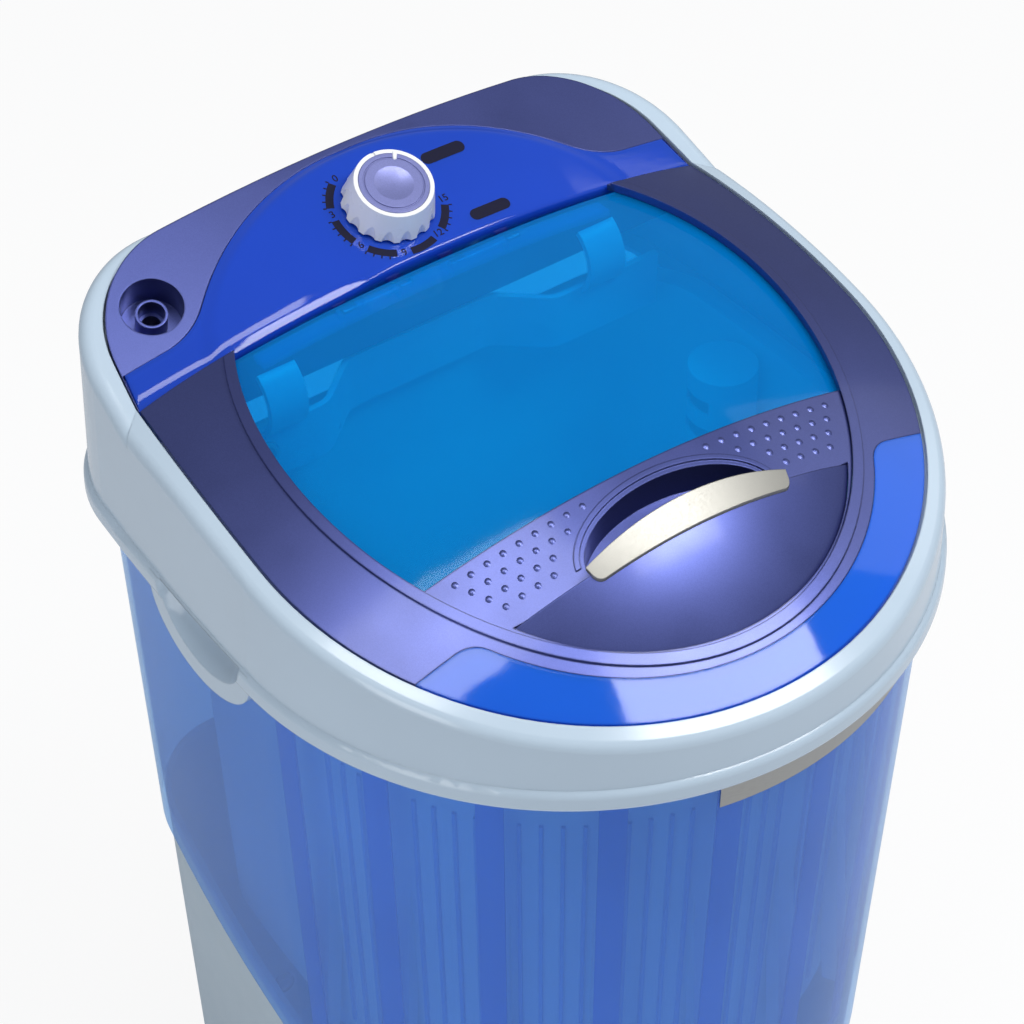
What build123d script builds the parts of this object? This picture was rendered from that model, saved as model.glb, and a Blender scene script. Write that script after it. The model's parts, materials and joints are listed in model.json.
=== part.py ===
from build123d import *
import os
from math import asin, cos, degrees, pi, radians, sin, sqrt, tan

# A small single-tub washing machine that stands on the floor.
# Millimetres, +Z up, the front faces -Y, the origin is on the floor under the middle of the machine.
# A white base carries a translucent shell, a white collar closes the top, and the collar holds a domed lid
# in front and a sloping deck with the control panel behind.

os.makedirs("parts", exist_ok=True)

# Clearances
SEAT_GAP = 0.15
MOVING_GAP = 0.4
RUNNING_GAP = 0.05

# Plan of the machine seen from above: a round front, gently tapered sides and rounded rear corners
FRONT_RADIUS = 161.0
FRONT_CENTRE_Y = -12.0
SIDE_RADIUS = 834.0
CORNER_START_Y = 123.0
BACK_Y = 167.0

# Heights of the cabinet
COLLAR_BOTTOM_Z = 449.5
BAND_HEIGHT = 11.5
LID_CROWN_Z = 552.8

# Lid: a shallow dome that flattens towards the hinge
DOME_RADIUS = 480.0
CROWN_Y = 71.0
REAR_DIP = 8.3
DIP_START_Y = 6.0
LID_WALL = 3.2
LID_EDGE_GAP = 1.5
WINDOW_WALL = 2.2
WINDOW_LAP = 5.0
WINDOW_OVERRUN = 1.5
DISC_CENTRE_Y = 6.0
DISC_HALF_WIDTH = FRONT_RADIUS - 33.0
DISC_HALF_DEPTH = 155.0
BEAD_WIDTH = 5.0
BEAD_HEIGHT = 1.4
WINDOW_FRONT_Y = -65.0
ACCENT_CENTRE_Y = -31.3
ACCENT_RADIUS = FRONT_RADIUS - 35.3
ACCENT_END_Y = FRONT_CENTRE_Y - FRONT_RADIUS + 78.7
ACCENT_FILLET = 15.0

# Lid grip: a dome with a metal strip along its rear edge, above a finger recess
GRIP_CENTRE_Y = -36.7
GRIP_RADIUS = 110.3
GRIP_DOME_RADIUS = 212.6
GRIP_WALL = 2.5
GRIP_RIDGE_Y = -105.0
GRIP_TIP_Y = -99.0
STRIP_HALF_LENGTH = 54.0
STRIP_WIDTH = 12.0
STRIP_BOW = 4.0
STRIP_THICKNESS = 1.4
STRIP_END_RADIUS = 5.0
RECESS_CENTRE_Y = -98.0
RECESS_HALF_WIDTH = 52.0
RECESS_HALF_DEPTH = 26.0
RECESS_DEPTH = 14.0
RECESS_WALL = 2.2
RECESS_BEAD = 2.6
RECESS_BEAD_HEIGHT = 0.9

# Lid hinge
HINGE_Y = 92.3
KNUCKLE_RADIUS = 2.6
PIN_RADIUS = 1.2
KNUCKLE_START_X = 18.4
KNUCKLE_LENGTH = 23.0
LUG_LENGTH = 7.0
LUG_ARM_HEIGHT = 3.2
RAIL_HALF_LENGTH = 96.0
RAIL_DEPTH = 9.0
LID_REAR_GAP = 1.0
RAIL_HEIGHT = 3.0

# Rear deck and control panel
PANEL_FRONT_Y = 98.0
DECK_SLOPE = 20.0
DECK_FRONT_Z = 539.0
DECK_SIDE_Z = 526.5
DECK_CROWN_RADIUS = 958.0
DECK_WALL = 2.5
DECK_RIM_DEPTH = 9.0
DECK_SKIRT_Z = 501.0
DECK_REBATE = 3.0
PANEL_CROWN_RADIUS = 720.0
PANEL_FRONT_Z = 543.7
PANEL_WALL = 2.5
PANEL_EDGE_GAP = 0.5
PANEL_FLANGE_DEPTH = 17.5
PANEL_HILL_HEIGHT = 48.0
PANEL_HILL_SLOPE = 0.88
PANEL_FOOT_X = 114.0
PANEL_FOOT_RADIUS = 38.0
PANEL_SHOULDER_RADIUS = 140.0
PANEL_RISE_X = 118.0
PANEL_RISE_POWER = 1.6
PANEL_RISE_BLEND = 0.16
PANEL_FOOT_PROUD = 0.8

# Timer and its knob
KNOB_RUN = 30.6
KNOB_RADIUS = 22.2
KNOB_TOP_RADIUS = 18.8
KNOB_HEIGHT = 16.0
KNOB_WALL = 2.5
KNOB_CAP_RADIUS = 16.6
KNOB_CAP_THICKNESS = 2.4
KNOB_FLUTES = 16
FLUTE_RADIUS = 4.0
FLUTE_DEPTH = 1.4
KNOB_DISH_RADIUS = 40.0
KNOB_DISH_DEPTH = 1.1
SPINDLE_RADIUS = 3.0
TIMER_SIZE = 46.0
TIMER_HEIGHT = 20.0
TIMER_PLATE = 1.5
TIMER_SCREW_X = 13.5

# Water inlet
INLET_X = -121.6
INLET_RUN = 38.4
INLET_RADIUS = 17.1
INLET_DEPTH = 21.0
INLET_BEVEL = 1.4
SPIGOT_RADIUS = 7.5
SPIGOT_BORE = 6.2
SPIGOT_TOP_DEPTH = 6.5
SPIGOT_TAIL_RADIUS = 6.4
SPIGOT_TAIL_BORE = 4.6
FILLER_RADIUS = 8.0
FILLER_BORE = 6.0
FILLER_BEND = 10.0
FILLER_DROP = 9.0
FILLER_X = -100.0

# Collar
COLLAR_SIDE_RADIUS = 1400.0
COLLAR_CORNER_Y = 118.0
COLLAR_OFFSET = 10.0
COLLAR_DRAFT = 0.6
COLLAR_WALL = 2.8
COLLAR_PROUD = 1.0
COLLAR_DECK_PROUD = 0.7
COLLAR_EDGE_RADIUS = 6.0
CREASE_X = 150.0
CREASE_Y = 102.0
CREASE_SLOPE = 0.85
BAND_OFFSET = 12.5
BAND_EDGE_RADIUS = 4.0
LIP_OFFSET = 1.2
LIP_WALL = 3.0
SHELF_REACH = 12.2
LEDGE_REACH = 7.0
LEDGE_WALL = 2.5
LEDGE_END_Y = 78.0

# Side grips of the collar
GRIP_Y = 28.0
EAR_HALF_LENGTH = 43.0
EAR_DROP = 22.5
POCKET_HALF_LENGTH = 38.0
POCKET_RADIUS = 26.0
POCKET_OUTSET = 8.0
POCKET_WALL = 2.4

# Outer shell and base
SHELL_OFFSET = 5.0
SHELL_WALL = 2.5
SHELL_TAPER = 3.2
SHELL_TOP_GAP = 0.4
PARTING_FRONT_Z = 143.0
PARTING_FRONT_Y = -170.0
PARTING_SLOPE = 16.5
BASE_WALL = 3.0
BASE_TONGUE = 10.0
BASE_BOTTOM_Z = 12.0
BASE_FLANGE = 1.8
BASE_FLANGE_REACH = 9.0
BASE_PLATE_WALL = 3.0
FOOT_RADIUS = 17.0
FOOT_PLACES = [(side * (FRONT_RADIUS - inset), y) for side in (-1, 1) for inset, y in ((87.0, -80.0), (67.0, 102.0))]
VENT_COUNT = 9
VENT_WIDTH = 4.0
VENT_HEIGHT = 34.0
VENT_PITCH = 11.0

# Inner tub
TUB_BACK_Y = 124.0
TUB_CORNER_Y = 76.0
TUB_OFFSET = -12.0
TUB_WALL = 2.2
TUB_FLOOR_Z = 212.0
TUB_RIM_WALL = 3.0
TUB_RIM_REACH = 8.0
TUB_RIB_COUNT = 10
TUB_RIB_WIDTH = 10.0
TUB_RIB_HEIGHT = 4.0
WELL_RADIUS = 92.0
WELL_DEPTH = 12.0

# Rear bridge over the tub's rim
BRIDGE_Y = 84.0
BRIDGE_BULGE = 20.0
BRIDGE_HALF_LENGTH = 124.0
BRIDGE_HEIGHT = 30.0
BRIDGE_WALL = 3.0
TAB_X = 89.0
TAB_WIDTH = 20.0
TAB_HEIGHT = 29.0

# Lint filter on the tub's right wall
FILTER_X = FRONT_RADIUS - 34.0
FILTER_Y = 34.0
FILTER_RADIUS = 17.0
FILTER_TOP_Z = 460.0
FILTER_HEIGHT = 120.0

# Pulsator and drive
DRIVE_Y = -20.0
PULSATOR_RADIUS = 84.0
PULSATOR_WALL = 4.0
PULSATOR_VANES = 6
VANE_HEIGHT = 12.0
SHAFT_RADIUS = 5.0
BEARING_RADIUS = 13.0
BEARING_HEIGHT = 8.0
HOUSING_WALL = 4.0
HOUSING_LENGTH = 46.0
HOUSING_FLANGE_RADIUS = 44.0
HOUSING_FLANGE = 4.0
PULLEY_RADIUS = 60.0
MOTOR_PULLEY_RADIUS = 20.0
PULLEY_GAP = 8.6
PULLEY_WIDTH = 14.0
BELT_WIDTH = 8.0
BELT_HEIGHT = 6.0
BELT_SUNK = 1.5
MOTOR_SPACING = 102.0
MOTOR_RADIUS = 55.0
MOTOR_HEIGHT = 84.0
BUSH_RADIUS = 9.0
BUSH_HEIGHT = 6.0
BRACKET_WALL = 3.0
BRACKET_HALF = 52.0
CAPACITOR_PLACE = (73.0 - FRONT_RADIUS, 52.0)
CAPACITOR_RADIUS = 17.0
CAPACITOR_HEIGHT = 52.0

# Drain and mains entry at the back
DRAIN_X = 74.0
DRAIN_Y = -2.0
DRAIN_RADIUS = 9.0
DRAIN_BORE = 6.5
DRAIN_BEND = 16.0
VALVE_HEIGHT = 26.0
OUTLET_Z = 60.0
OUTLET_LENGTH = 24.0
GLAND_X = -70.0
GLAND_Z = 46.0
GLAND_RADIUS = 6.5
GLAND_LENGTH = 14.0

# Worked-out places
BAND_TOP_Z = COLLAR_BOTTOM_Z + BAND_HEIGHT
LIP_BOTTOM_Z = BAND_TOP_Z - 2.8
SHELL_TOP_Z = LIP_BOTTOM_Z - SHELL_TOP_GAP
TUB_RIM_Z = BAND_TOP_Z + LIP_WALL + SEAT_GAP
TUB_TOP_Z = TUB_RIM_Z + TUB_RIM_WALL
WELL_Z = TUB_FLOOR_Z - WELL_DEPTH
MOTOR_Y = DRIVE_Y + MOTOR_SPACING
DECK_PLANE = Plane(
    origin=(0, PANEL_FRONT_Y, DECK_FRONT_Z),
    x_dir=(1, 0, 0),
    z_dir=(0, -sin(radians(DECK_SLOPE)), cos(radians(DECK_SLOPE))),
)
SLOPE_PLANE = Plane(origin=(0, PANEL_FRONT_Y, DECK_SIDE_Z), x_dir=(1, 0, 0), z_dir=DECK_PLANE.z_dir)
PANEL_PLANE = Plane(origin=(0, PANEL_FRONT_Y, PANEL_FRONT_Z), x_dir=(1, 0, 0), z_dir=DECK_PLANE.z_dir)
KNOB_PLANE = Plane(origin=PANEL_PLANE.from_local_coords((0, KNOB_RUN, 0)), x_dir=(1, 0, 0), z_dir=PANEL_PLANE.z_dir)
INLET_SAG = DECK_CROWN_RADIUS - sqrt(DECK_CROWN_RADIUS**2 - INLET_X**2)
INLET_LEAN = degrees(asin(INLET_X / DECK_CROWN_RADIUS))
INLET_PLANE = Plane(DECK_PLANE.location * Pos(INLET_X, INLET_RUN, -INLET_SAG) * Rot(0, INLET_LEAN, 0))


def plan(offset=0.0, side_radius=SIDE_RADIUS, corner_y=CORNER_START_Y, back_y=BACK_Y):
    """The machine's plan outline as a face, grown outwards by offset."""
    centre_x = FRONT_RADIUS - side_radius
    turn = asin((corner_y - FRONT_CENTRE_Y) / side_radius)
    corner = (back_y - corner_y) / (1 - sin(turn))
    corner_x = centre_x + (side_radius - corner) * cos(turn)
    corner_cy = FRONT_CENTRE_Y + (side_radius - corner) * sin(turn)

    def side(angle):
        reach = side_radius + offset
        return (centre_x + reach * cos(angle), FRONT_CENTRE_Y + reach * sin(angle))

    def bend(angle):
        reach = corner + offset
        return (corner_x + reach * cos(angle), corner_cy + reach * sin(angle))

    def mirrored(point):
        return (-point[0], point[1])

    half = [side(0), side(turn / 2), side(turn), bend((turn + pi / 2) / 2), bend(pi / 2)]
    other = [mirrored(point) for point in half]
    edges = [
        ThreePointArc(other[0], (0, FRONT_CENTRE_Y - FRONT_RADIUS - offset), half[0]),
        ThreePointArc(half[0], half[1], half[2]),
        ThreePointArc(half[2], half[3], half[4]),
        Line(half[4], other[4]),
        ThreePointArc(other[4], other[3], other[2]),
        ThreePointArc(other[2], other[1], other[0]),
    ]
    return make_face(Wire(edges))


def collar_plan(offset):
    """The collar's outline, whose sides run straighter to the back than the lid's."""
    return plan(offset, side_radius=COLLAR_SIDE_RADIUS, corner_y=COLLAR_CORNER_Y)


def tub_plan(offset):
    """The inner tub's outline, which ends in front of the control panel's works."""
    return plan(offset, corner_y=TUB_CORNER_Y, back_y=TUB_BACK_Y)


def prism(outline, low, high):
    """An upright prism on an outline between two heights."""
    return extrude(Pos(0, 0, low) * outline, amount=high - low)


def tapered(outline, low, high, offset_low, offset_high):
    """A solid that tapers between two offsets of one outline."""
    return loft([Pos(0, 0, low) * outline(offset_low), Pos(0, 0, high) * outline(offset_high)], ruled=True)


def half_space(front, back, width=500.0):
    """A tall block that keeps what lies between two Y values."""
    return Pos(0, (front + back) / 2, 300) * Box(width, back - front, 900)


def lid_height(x, y):
    """Height of the lid's top: a dome, dipped towards the middle of the hinge."""
    dome = LID_CROWN_Z - DOME_RADIUS + sqrt(DOME_RADIUS**2 - x * x - (y - CROWN_Y) ** 2)
    run = min(max((y - DIP_START_Y) / (PANEL_FRONT_Y - DIP_START_Y), 0), 1.2)
    spread = max(0, 1 - (x / FRONT_RADIUS) ** 2)
    return dome - REAR_DIP * run * run * (3 - 2 * run) * spread**2


def lid_surface():
    """The lid's top surface, wider than the lid."""
    steps = 16
    reach = FRONT_RADIUS + 8
    low = FRONT_CENTRE_Y - reach
    high = PANEL_FRONT_Y + 4
    rows = [low + (high - low) * i / steps for i in range(steps + 1)]
    columns = [-reach + 2 * reach * i / steps for i in range(steps + 1)]
    grid = [[(x, y, lid_height(x, y)) for x in columns] for y in rows]
    return Face.make_surface_from_array_of_points(grid, tol=0.03)


LID_SURFACE = lid_surface()


def lid_plate(outline, drop, thickness):
    """A plate that follows the lid's surface, drop below it, cut to an outline seen from above."""
    sheet = extrude(Pos(0, 0, -drop) * LID_SURFACE, amount=thickness, dir=(0, 0, -1))
    return sheet & prism(outline, COLLAR_BOTTOM_Z, LID_CROWN_Z + 20)


def disc(grow=0.0):
    """The round field inside the lid's frame."""
    return Pos(0, DISC_CENTRE_Y) * Ellipse(DISC_HALF_WIDTH + grow, DISC_HALF_DEPTH + grow)


def behind(y):
    """A face that covers everything behind a line across the lid."""
    return Pos(0, y + 200) * Rectangle(500, 400)


def ahead(y):
    """A face that covers everything in front of a line across the lid."""
    return Pos(0, y - 200) * Rectangle(500, 400)


def accent_outline(inset):
    """The crescent of the lid's front accent."""
    field = ahead(ACCENT_END_Y - inset) - Pos(0, ACCENT_CENTRE_Y) * Circle(ACCENT_RADIUS + inset)
    corners = [v for v in field.vertices() if abs(v.Y - ACCENT_END_Y) < 1 and abs(v.X) < FRONT_RADIUS]
    return plan(-LID_EDGE_GAP + LIP_OFFSET) & fillet(corners, ACCENT_FILLET)


def grip_outline(grow=0.0):
    """The lens shape of the grip dome seen from above."""
    tip_x = sqrt(GRIP_RADIUS**2 - (GRIP_TIP_Y - GRIP_CENTRE_Y) ** 2)
    ridge = ThreePointArc((-tip_x - 30, GRIP_TIP_Y + 4 + grow), (0, GRIP_RIDGE_Y + grow), (tip_x + 30, GRIP_TIP_Y + 4 + grow))
    low = GRIP_CENTRE_Y - 200
    sides = Polyline(ridge @ 1, (tip_x + 30, low), (-tip_x - 30, low), ridge @ 0)
    return make_face([ridge, sides]) & Pos(0, GRIP_CENTRE_Y) * Circle(GRIP_RADIUS + grow)


def grip_ball(grow):
    """The ball whose cap forms the grip dome."""
    lid_centre = Vector(0, CROWN_Y, LID_CROWN_Z - DOME_RADIUS)
    foot = Vector(0, GRIP_CENTRE_Y, lid_height(0, GRIP_CENTRE_Y))
    toward = (foot - lid_centre).normalized()
    reach = sqrt(DOME_RADIUS**2 - GRIP_RADIUS**2) - sqrt(GRIP_DOME_RADIUS**2 - GRIP_RADIUS**2)
    return Pos(*(lid_centre + toward * reach)) * Sphere(GRIP_DOME_RADIUS + grow)


def recess_outline(inset=0.0):
    """The finger recess seen from above."""
    return Pos(0, RECESS_CENTRE_Y) * Ellipse(RECESS_HALF_WIDTH - inset, RECESS_HALF_DEPTH - inset)


LID_OUTLINE = plan(LIP_OFFSET - LID_EDGE_GAP) & ahead(PANEL_FRONT_Y - LID_REAR_GAP)
HINGE_Z = lid_height(0, HINGE_Y) - LID_WALL - WINDOW_WALL - 2 * SEAT_GAP - KNUCKLE_RADIUS


def lid_frame():
    """The purple ring of the lid, with a raised bead round the disc and a short rim downwards."""
    field = LID_OUTLINE - disc() - accent_outline(0)
    rim = LID_OUTLINE - plan(LIP_OFFSET - LID_EDGE_GAP - 2.0) - behind(LEDGE_END_Y)
    bead = (disc(BEAD_WIDTH) - disc()) & LID_OUTLINE & ahead(PANEL_FRONT_Y - 2.5 * LID_REAR_GAP)
    body = lid_plate(field, 0, LID_WALL)
    body += lid_plate(bead, -BEAD_HEIGHT, BEAD_HEIGHT + LID_WALL)
    return body


def lid_window():
    """The clear sheet, lapped under the frame and the grip panel."""
    field = disc(WINDOW_LAP) & behind(WINDOW_FRONT_Y - WINDOW_LAP + 2) & ahead(HINGE_Y + WINDOW_OVERRUN)
    end = lug_places()[-1] + LUG_LENGTH
    return lid_plate(field, LID_WALL + SEAT_GAP, WINDOW_WALL) - across(KNUCKLE_RADIUS + SEAT_GAP, -end, end)


def lug_places():
    """The middles of the deck's four hinge lugs along X."""
    near = KNUCKLE_START_X - MOVING_GAP - LUG_LENGTH / 2
    far = KNUCKLE_START_X + KNUCKLE_LENGTH + MOVING_GAP + LUG_LENGTH / 2
    return [-far, -near, near, far]


def across(radius, start, end):
    """A cylinder along the hinge axis between two X values."""
    return Pos((start + end) / 2, HINGE_Y, HINGE_Z) * Rot(0, 90, 0) * Cylinder(radius, end - start)


def lid_hinge_rail():
    """The rail under the window's rear edge, with two knuckles."""
    field = Pos(0, HINGE_Y + 1 - RAIL_DEPTH / 2) * Rectangle(2 * RAIL_HALF_LENGTH, RAIL_DEPTH)
    for place in lug_places():
        field -= Pos(place, HINGE_Y + 2) * Rectangle(LUG_LENGTH + 2 * MOVING_GAP, 2 * (KNUCKLE_RADIUS + 2.5))
    rail = lid_plate(field, LID_WALL + WINDOW_WALL + 2 * SEAT_GAP, RAIL_HEIGHT)
    ends = KNUCKLE_START_X + KNUCKLE_LENGTH
    for start, end in ((-ends, -KNUCKLE_START_X), (KNUCKLE_START_X, ends)):
        rail += across(KNUCKLE_RADIUS, start, end)
    for start, end in ((-ends, -KNUCKLE_START_X), (KNUCKLE_START_X, ends)):
        rail -= across(PIN_RADIUS + RUNNING_GAP, start - 1, end + 1)
    return rail


def lid_hinge_pins():
    """Two steel pins held by the deck's lugs."""
    start = KNUCKLE_START_X - MOVING_GAP - LUG_LENGTH + 0.5
    end = KNUCKLE_START_X + KNUCKLE_LENGTH + MOVING_GAP + LUG_LENGTH - 0.5
    return [across(PIN_RADIUS, -end, -start), across(PIN_RADIUS, start, end)]


def grip_panel():
    """The textured band of the lid with the finger recess moulded into it."""
    field = disc(-SEAT_GAP) & ahead(WINDOW_FRONT_Y)
    plate = lid_plate(field - grip_outline(SEAT_GAP) - recess_outline(), 0, LID_WALL)
    bead = (recess_outline(-RECESS_BEAD) - recess_outline()) & behind(RECESS_CENTRE_Y + 4)
    plate += lid_plate(bead, -RECESS_BEAD_HEIGHT, RECESS_BEAD_HEIGHT + LID_WALL)
    wall = lid_plate(recess_outline() - recess_outline(RECESS_WALL), 0, RECESS_DEPTH)
    floor = lid_plate(recess_outline(), RECESS_DEPTH, RECESS_WALL)
    return plate + wall + floor


def grip_dome():
    """The dark dome that the hand pulls."""
    cap = grip_ball(0) - grip_ball(-GRIP_WALL)
    return cap & prism(grip_outline(), COLLAR_BOTTOM_Z, LID_CROWN_Z + 20)


def grip_strip():
    """The metal strip along the dome's rear edge."""
    back_y = GRIP_RIDGE_Y + STRIP_WIDTH * 0.7
    front_y = back_y - STRIP_WIDTH
    end_y = back_y - STRIP_BOW
    back = ThreePointArc((-STRIP_HALF_LENGTH, end_y), (0, back_y), (STRIP_HALF_LENGTH, end_y))
    right = Line(back @ 1, (STRIP_HALF_LENGTH - 2, end_y - STRIP_WIDTH * 0.6))
    front = ThreePointArc(right @ 1, (0, front_y), (-STRIP_HALF_LENGTH + 2, end_y - STRIP_WIDTH * 0.6))
    left = Line(front @ 1, back @ 0)
    field = make_face(Wire([back, right, front, left]))
    field = fillet(field.vertices().sort_by(Axis.Y)[:2], STRIP_END_RADIUS)
    cap = grip_ball(SEAT_GAP + STRIP_THICKNESS) - grip_ball(SEAT_GAP)
    return cap & prism(field, COLLAR_BOTTOM_Z, LID_CROWN_Z + 20)


def front_accent():
    """The translucent crescent along the lid's front edge."""
    return lid_plate(accent_outline(SEAT_GAP), 0, LID_WALL)


def crowned(plane, radius, drop):
    """Everything under a surface that is crowned across the machine and lowered by drop."""
    lower = radius - drop
    half = FRONT_RADIUS + 30
    sag = radius - sqrt(lower**2 - half**2)
    arc = ThreePointArc((-half, -sag), (0, -drop), (half, -sag))
    under = Polyline(arc @ 1, (half, -160), (-half, -160), arc @ 0)
    end = plane * Pos(0, 140, 0) * Rot(90, 0, 0) * make_face([arc, under])
    return extrude(end, amount=200)


def below_deck(rise):
    """Everything under the deck's crowned surface, which is moved up by rise."""
    return crowned(DECK_PLANE, DECK_CROWN_RADIUS, -rise)


def below_slope(rise):
    """Everything under the flat slope of the collar's rear rim, which is moved up by rise."""
    return SLOPE_PLANE * Pos(0, 40, rise - 150) * Box(500, 400, 300)


def crown_height(x, y, front_z, radius):
    """Height of a crowned slope at a point seen from above."""
    return front_z + tan(radians(DECK_SLOPE)) * (y - PANEL_FRONT_Y) - x * x / (2 * radius * cos(radians(DECK_SLOPE)))


def panel_height(x, y):
    """Height of the control panel's top: a low flange that swells up to the crowned hill."""
    depth = PANEL_FLANGE_DEPTH + PANEL_HILL_HEIGHT
    run = max(y - PANEL_FRONT_Y, 0) / depth
    field = (x / PANEL_RISE_X) ** 2 + run**PANEL_RISE_POWER
    blend = min(max((1 - field) / PANEL_RISE_BLEND, 0), 1)
    blend = blend * blend * (3 - 2 * blend)
    foot = crown_height(x, y, DECK_FRONT_Z, DECK_CROWN_RADIUS) + PANEL_FOOT_PROUD
    hill = crown_height(x, y, PANEL_FRONT_Z, PANEL_CROWN_RADIUS)
    return foot + blend * (hill - foot)


def panel_surface():
    """The control panel's top surface, wider than the panel."""
    columns = 48
    rows = 22
    reach = FRONT_RADIUS
    low = PANEL_FRONT_Y - 4
    high = PANEL_FRONT_Y + PANEL_FLANGE_DEPTH + PANEL_HILL_HEIGHT + 6
    across_x = [-reach + 2 * reach * i / columns for i in range(columns + 1)]
    along_y = [low + (high - low) * i / rows for i in range(rows + 1)]
    grid = [[(x, y, panel_height(x, y)) for x in across_x] for y in along_y]
    return Face.make_surface_from_array_of_points(grid, tol=0.05)


def hill_outline(inset=0.0):
    """The control panel seen from above: a straight front and a bell-shaped back with two long feet."""
    wide = FRONT_RADIUS + 20
    flange = PANEL_FRONT_Y + PANEL_FLANGE_DEPTH
    top = flange + PANEL_HILL_HEIGHT
    foot = PANEL_FOOT_X
    shoulder = foot - PANEL_HILL_HEIGHT / PANEL_HILL_SLOPE
    field = make_face(
        Polyline(
            (-wide, PANEL_FRONT_Y),
            (wide, PANEL_FRONT_Y),
            (wide, flange),
            (foot, flange),
            (shoulder, top),
            (-shoulder, top),
            (-foot, flange),
            (-wide, flange),
            close=True,
        )
    )
    field = fillet([v for v in field.vertices() if v.Y > top - 1], PANEL_SHOULDER_RADIUS)
    field = fillet([v for v in field.vertices() if abs(v.Y - flange) < 1 and abs(v.X) < wide - 1], PANEL_FOOT_RADIUS)
    if inset != 0:
        field = offset(field, amount=-inset)
    return field & plan(-PANEL_EDGE_GAP - inset)


def control_panel():
    """The translucent bell-shaped cover over the timer."""
    surface = panel_surface()
    low = DECK_SIDE_Z - 20
    high = LID_CROWN_Z + 60
    block = prism(hill_outline(), low, high) & extrude(surface, amount=60, dir=(0, 0, -1))
    hollow = extrude(Pos(0, 0, -PANEL_WALL) * surface, amount=60, dir=(0, 0, -1))
    cover = block - (prism(hill_outline(PANEL_WALL), low, high) & hollow) - below_deck(SEAT_GAP - DECK_REBATE)
    for place in lug_places():
        cover -= hinge_arm(place, SEAT_GAP)
    cover -= KNOB_PLANE * Cylinder(SPINDLE_RADIUS + 2, 20)
    for side in (-1, 1):
        cover -= KNOB_PLANE * Pos(side * TIMER_SCREW_X, 0, 0) * Cylinder(1.8, 20)
    return cover


def rear_deck():
    """The purple deck: a crowned slope with a rebate for the panel, a rim, a skirt, an inlet cup and the hinge lugs."""
    field = plan(0) & behind(PANEL_FRONT_Y)
    low = DECK_SKIRT_Z - 40
    high = LID_CROWN_Z + 60
    under = -DECK_REBATE - DECK_WALL
    plate = prism(field, low, high) & below_deck(0) - below_deck(under)
    thin = field - hill_outline(-SEAT_GAP - DECK_WALL)
    plate -= prism(thin, low, high) & below_deck(-DECK_WALL)
    rim = prism(field - plan(-DECK_WALL), low, high)
    plate += rim & below_deck(0) - below_slope(-DECK_RIM_DEPTH)
    plate -= prism(hill_outline(-SEAT_GAP) + hill_outline(), low, high) - below_deck(-DECK_REBATE)
    half = plan(0).bounding_box().max.X - LEDGE_REACH - 12
    skirt = Pos(0, PANEL_FRONT_Y + PANEL_WALL + DECK_WALL / 2, DECK_SKIRT_Z + 40) * Box(2 * half, DECK_WALL, 80)
    plate += skirt & below_deck(under + 1)
    opening = TIMER_SIZE + 4
    plate -= KNOB_PLANE * Pos(0, 0, -TIMER_HEIGHT) * Box(opening, opening, 80)
    plate += INLET_PLANE * Pos(0, 0, -(INLET_DEPTH + 1) / 2) * Cylinder(INLET_RADIUS, INLET_DEPTH - 1)
    mouth = INLET_RADIUS - DECK_WALL
    plate -= INLET_PLANE * Pos(0, 0, (DECK_WALL - INLET_DEPTH) / 2 + 5) * Cylinder(mouth, INLET_DEPTH - DECK_WALL + 10)
    plate -= INLET_PLANE * Cone(mouth - INLET_BEVEL, mouth + INLET_BEVEL, 2 * INLET_BEVEL)
    plate -= INLET_PLANE * Cylinder(SPIGOT_TAIL_RADIUS + SEAT_GAP, 4 * INLET_DEPTH)
    for place in lug_places():
        plate += hinge_lug(place)
    return plate


def hinge_arm(place, grow):
    """The arm that carries one lug, grown on all sides."""
    radius = KNUCKLE_RADIUS - 0.3
    reach = PANEL_FRONT_Y + PANEL_WALL + SEAT_GAP + 1 - HINGE_Y + radius + 2 * grow
    middle = HINGE_Z - radius - LUG_ARM_HEIGHT / 2
    arm = Box(LUG_LENGTH + 2 * grow, reach, LUG_ARM_HEIGHT + 2 * grow)
    return Pos(place, HINGE_Y - radius - grow + reach / 2, middle) * arm


def hinge_lug(place):
    """One lug of the deck that holds an end of a hinge pin."""
    radius = KNUCKLE_RADIUS - 0.3
    start = place - LUG_LENGTH / 2
    lug = across(radius, start, start + LUG_LENGTH) + hinge_arm(place, 0)
    lug += Pos(place, HINGE_Y, HINGE_Z - radius / 2 - 0.5) * Box(LUG_LENGTH, 2 * radius, radius + 1)
    return lug - across(PIN_RADIUS + 0.02, start - 1, start + LUG_LENGTH + 1)


def water_inlet():
    """The hose spigot that stands in the deck's cup, with a thinner tail and a flange under the cup's floor."""
    floor = INLET_DEPTH - DECK_WALL - SEAT_GAP
    length = floor - SPIGOT_TOP_DEPTH
    tail = 12.0 + INLET_DEPTH - floor
    tube = Pos(0, 0, -SPIGOT_TOP_DEPTH - length / 2) * (Cylinder(SPIGOT_RADIUS, length) - Cylinder(SPIGOT_BORE, length + 1))
    tube += Pos(0, 0, -floor - tail / 2) * Cylinder(SPIGOT_TAIL_RADIUS, tail)
    tube += Pos(0, 0, -floor + 1) * Cylinder(SPIGOT_RADIUS - 0.3, 2)
    tube += Pos(0, 0, -INLET_DEPTH - SEAT_GAP - 1.5) * Cylinder(SPIGOT_RADIUS + 3, 3)
    return INLET_PLANE * (tube - Cylinder(SPIGOT_TAIL_BORE, 100))


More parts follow.
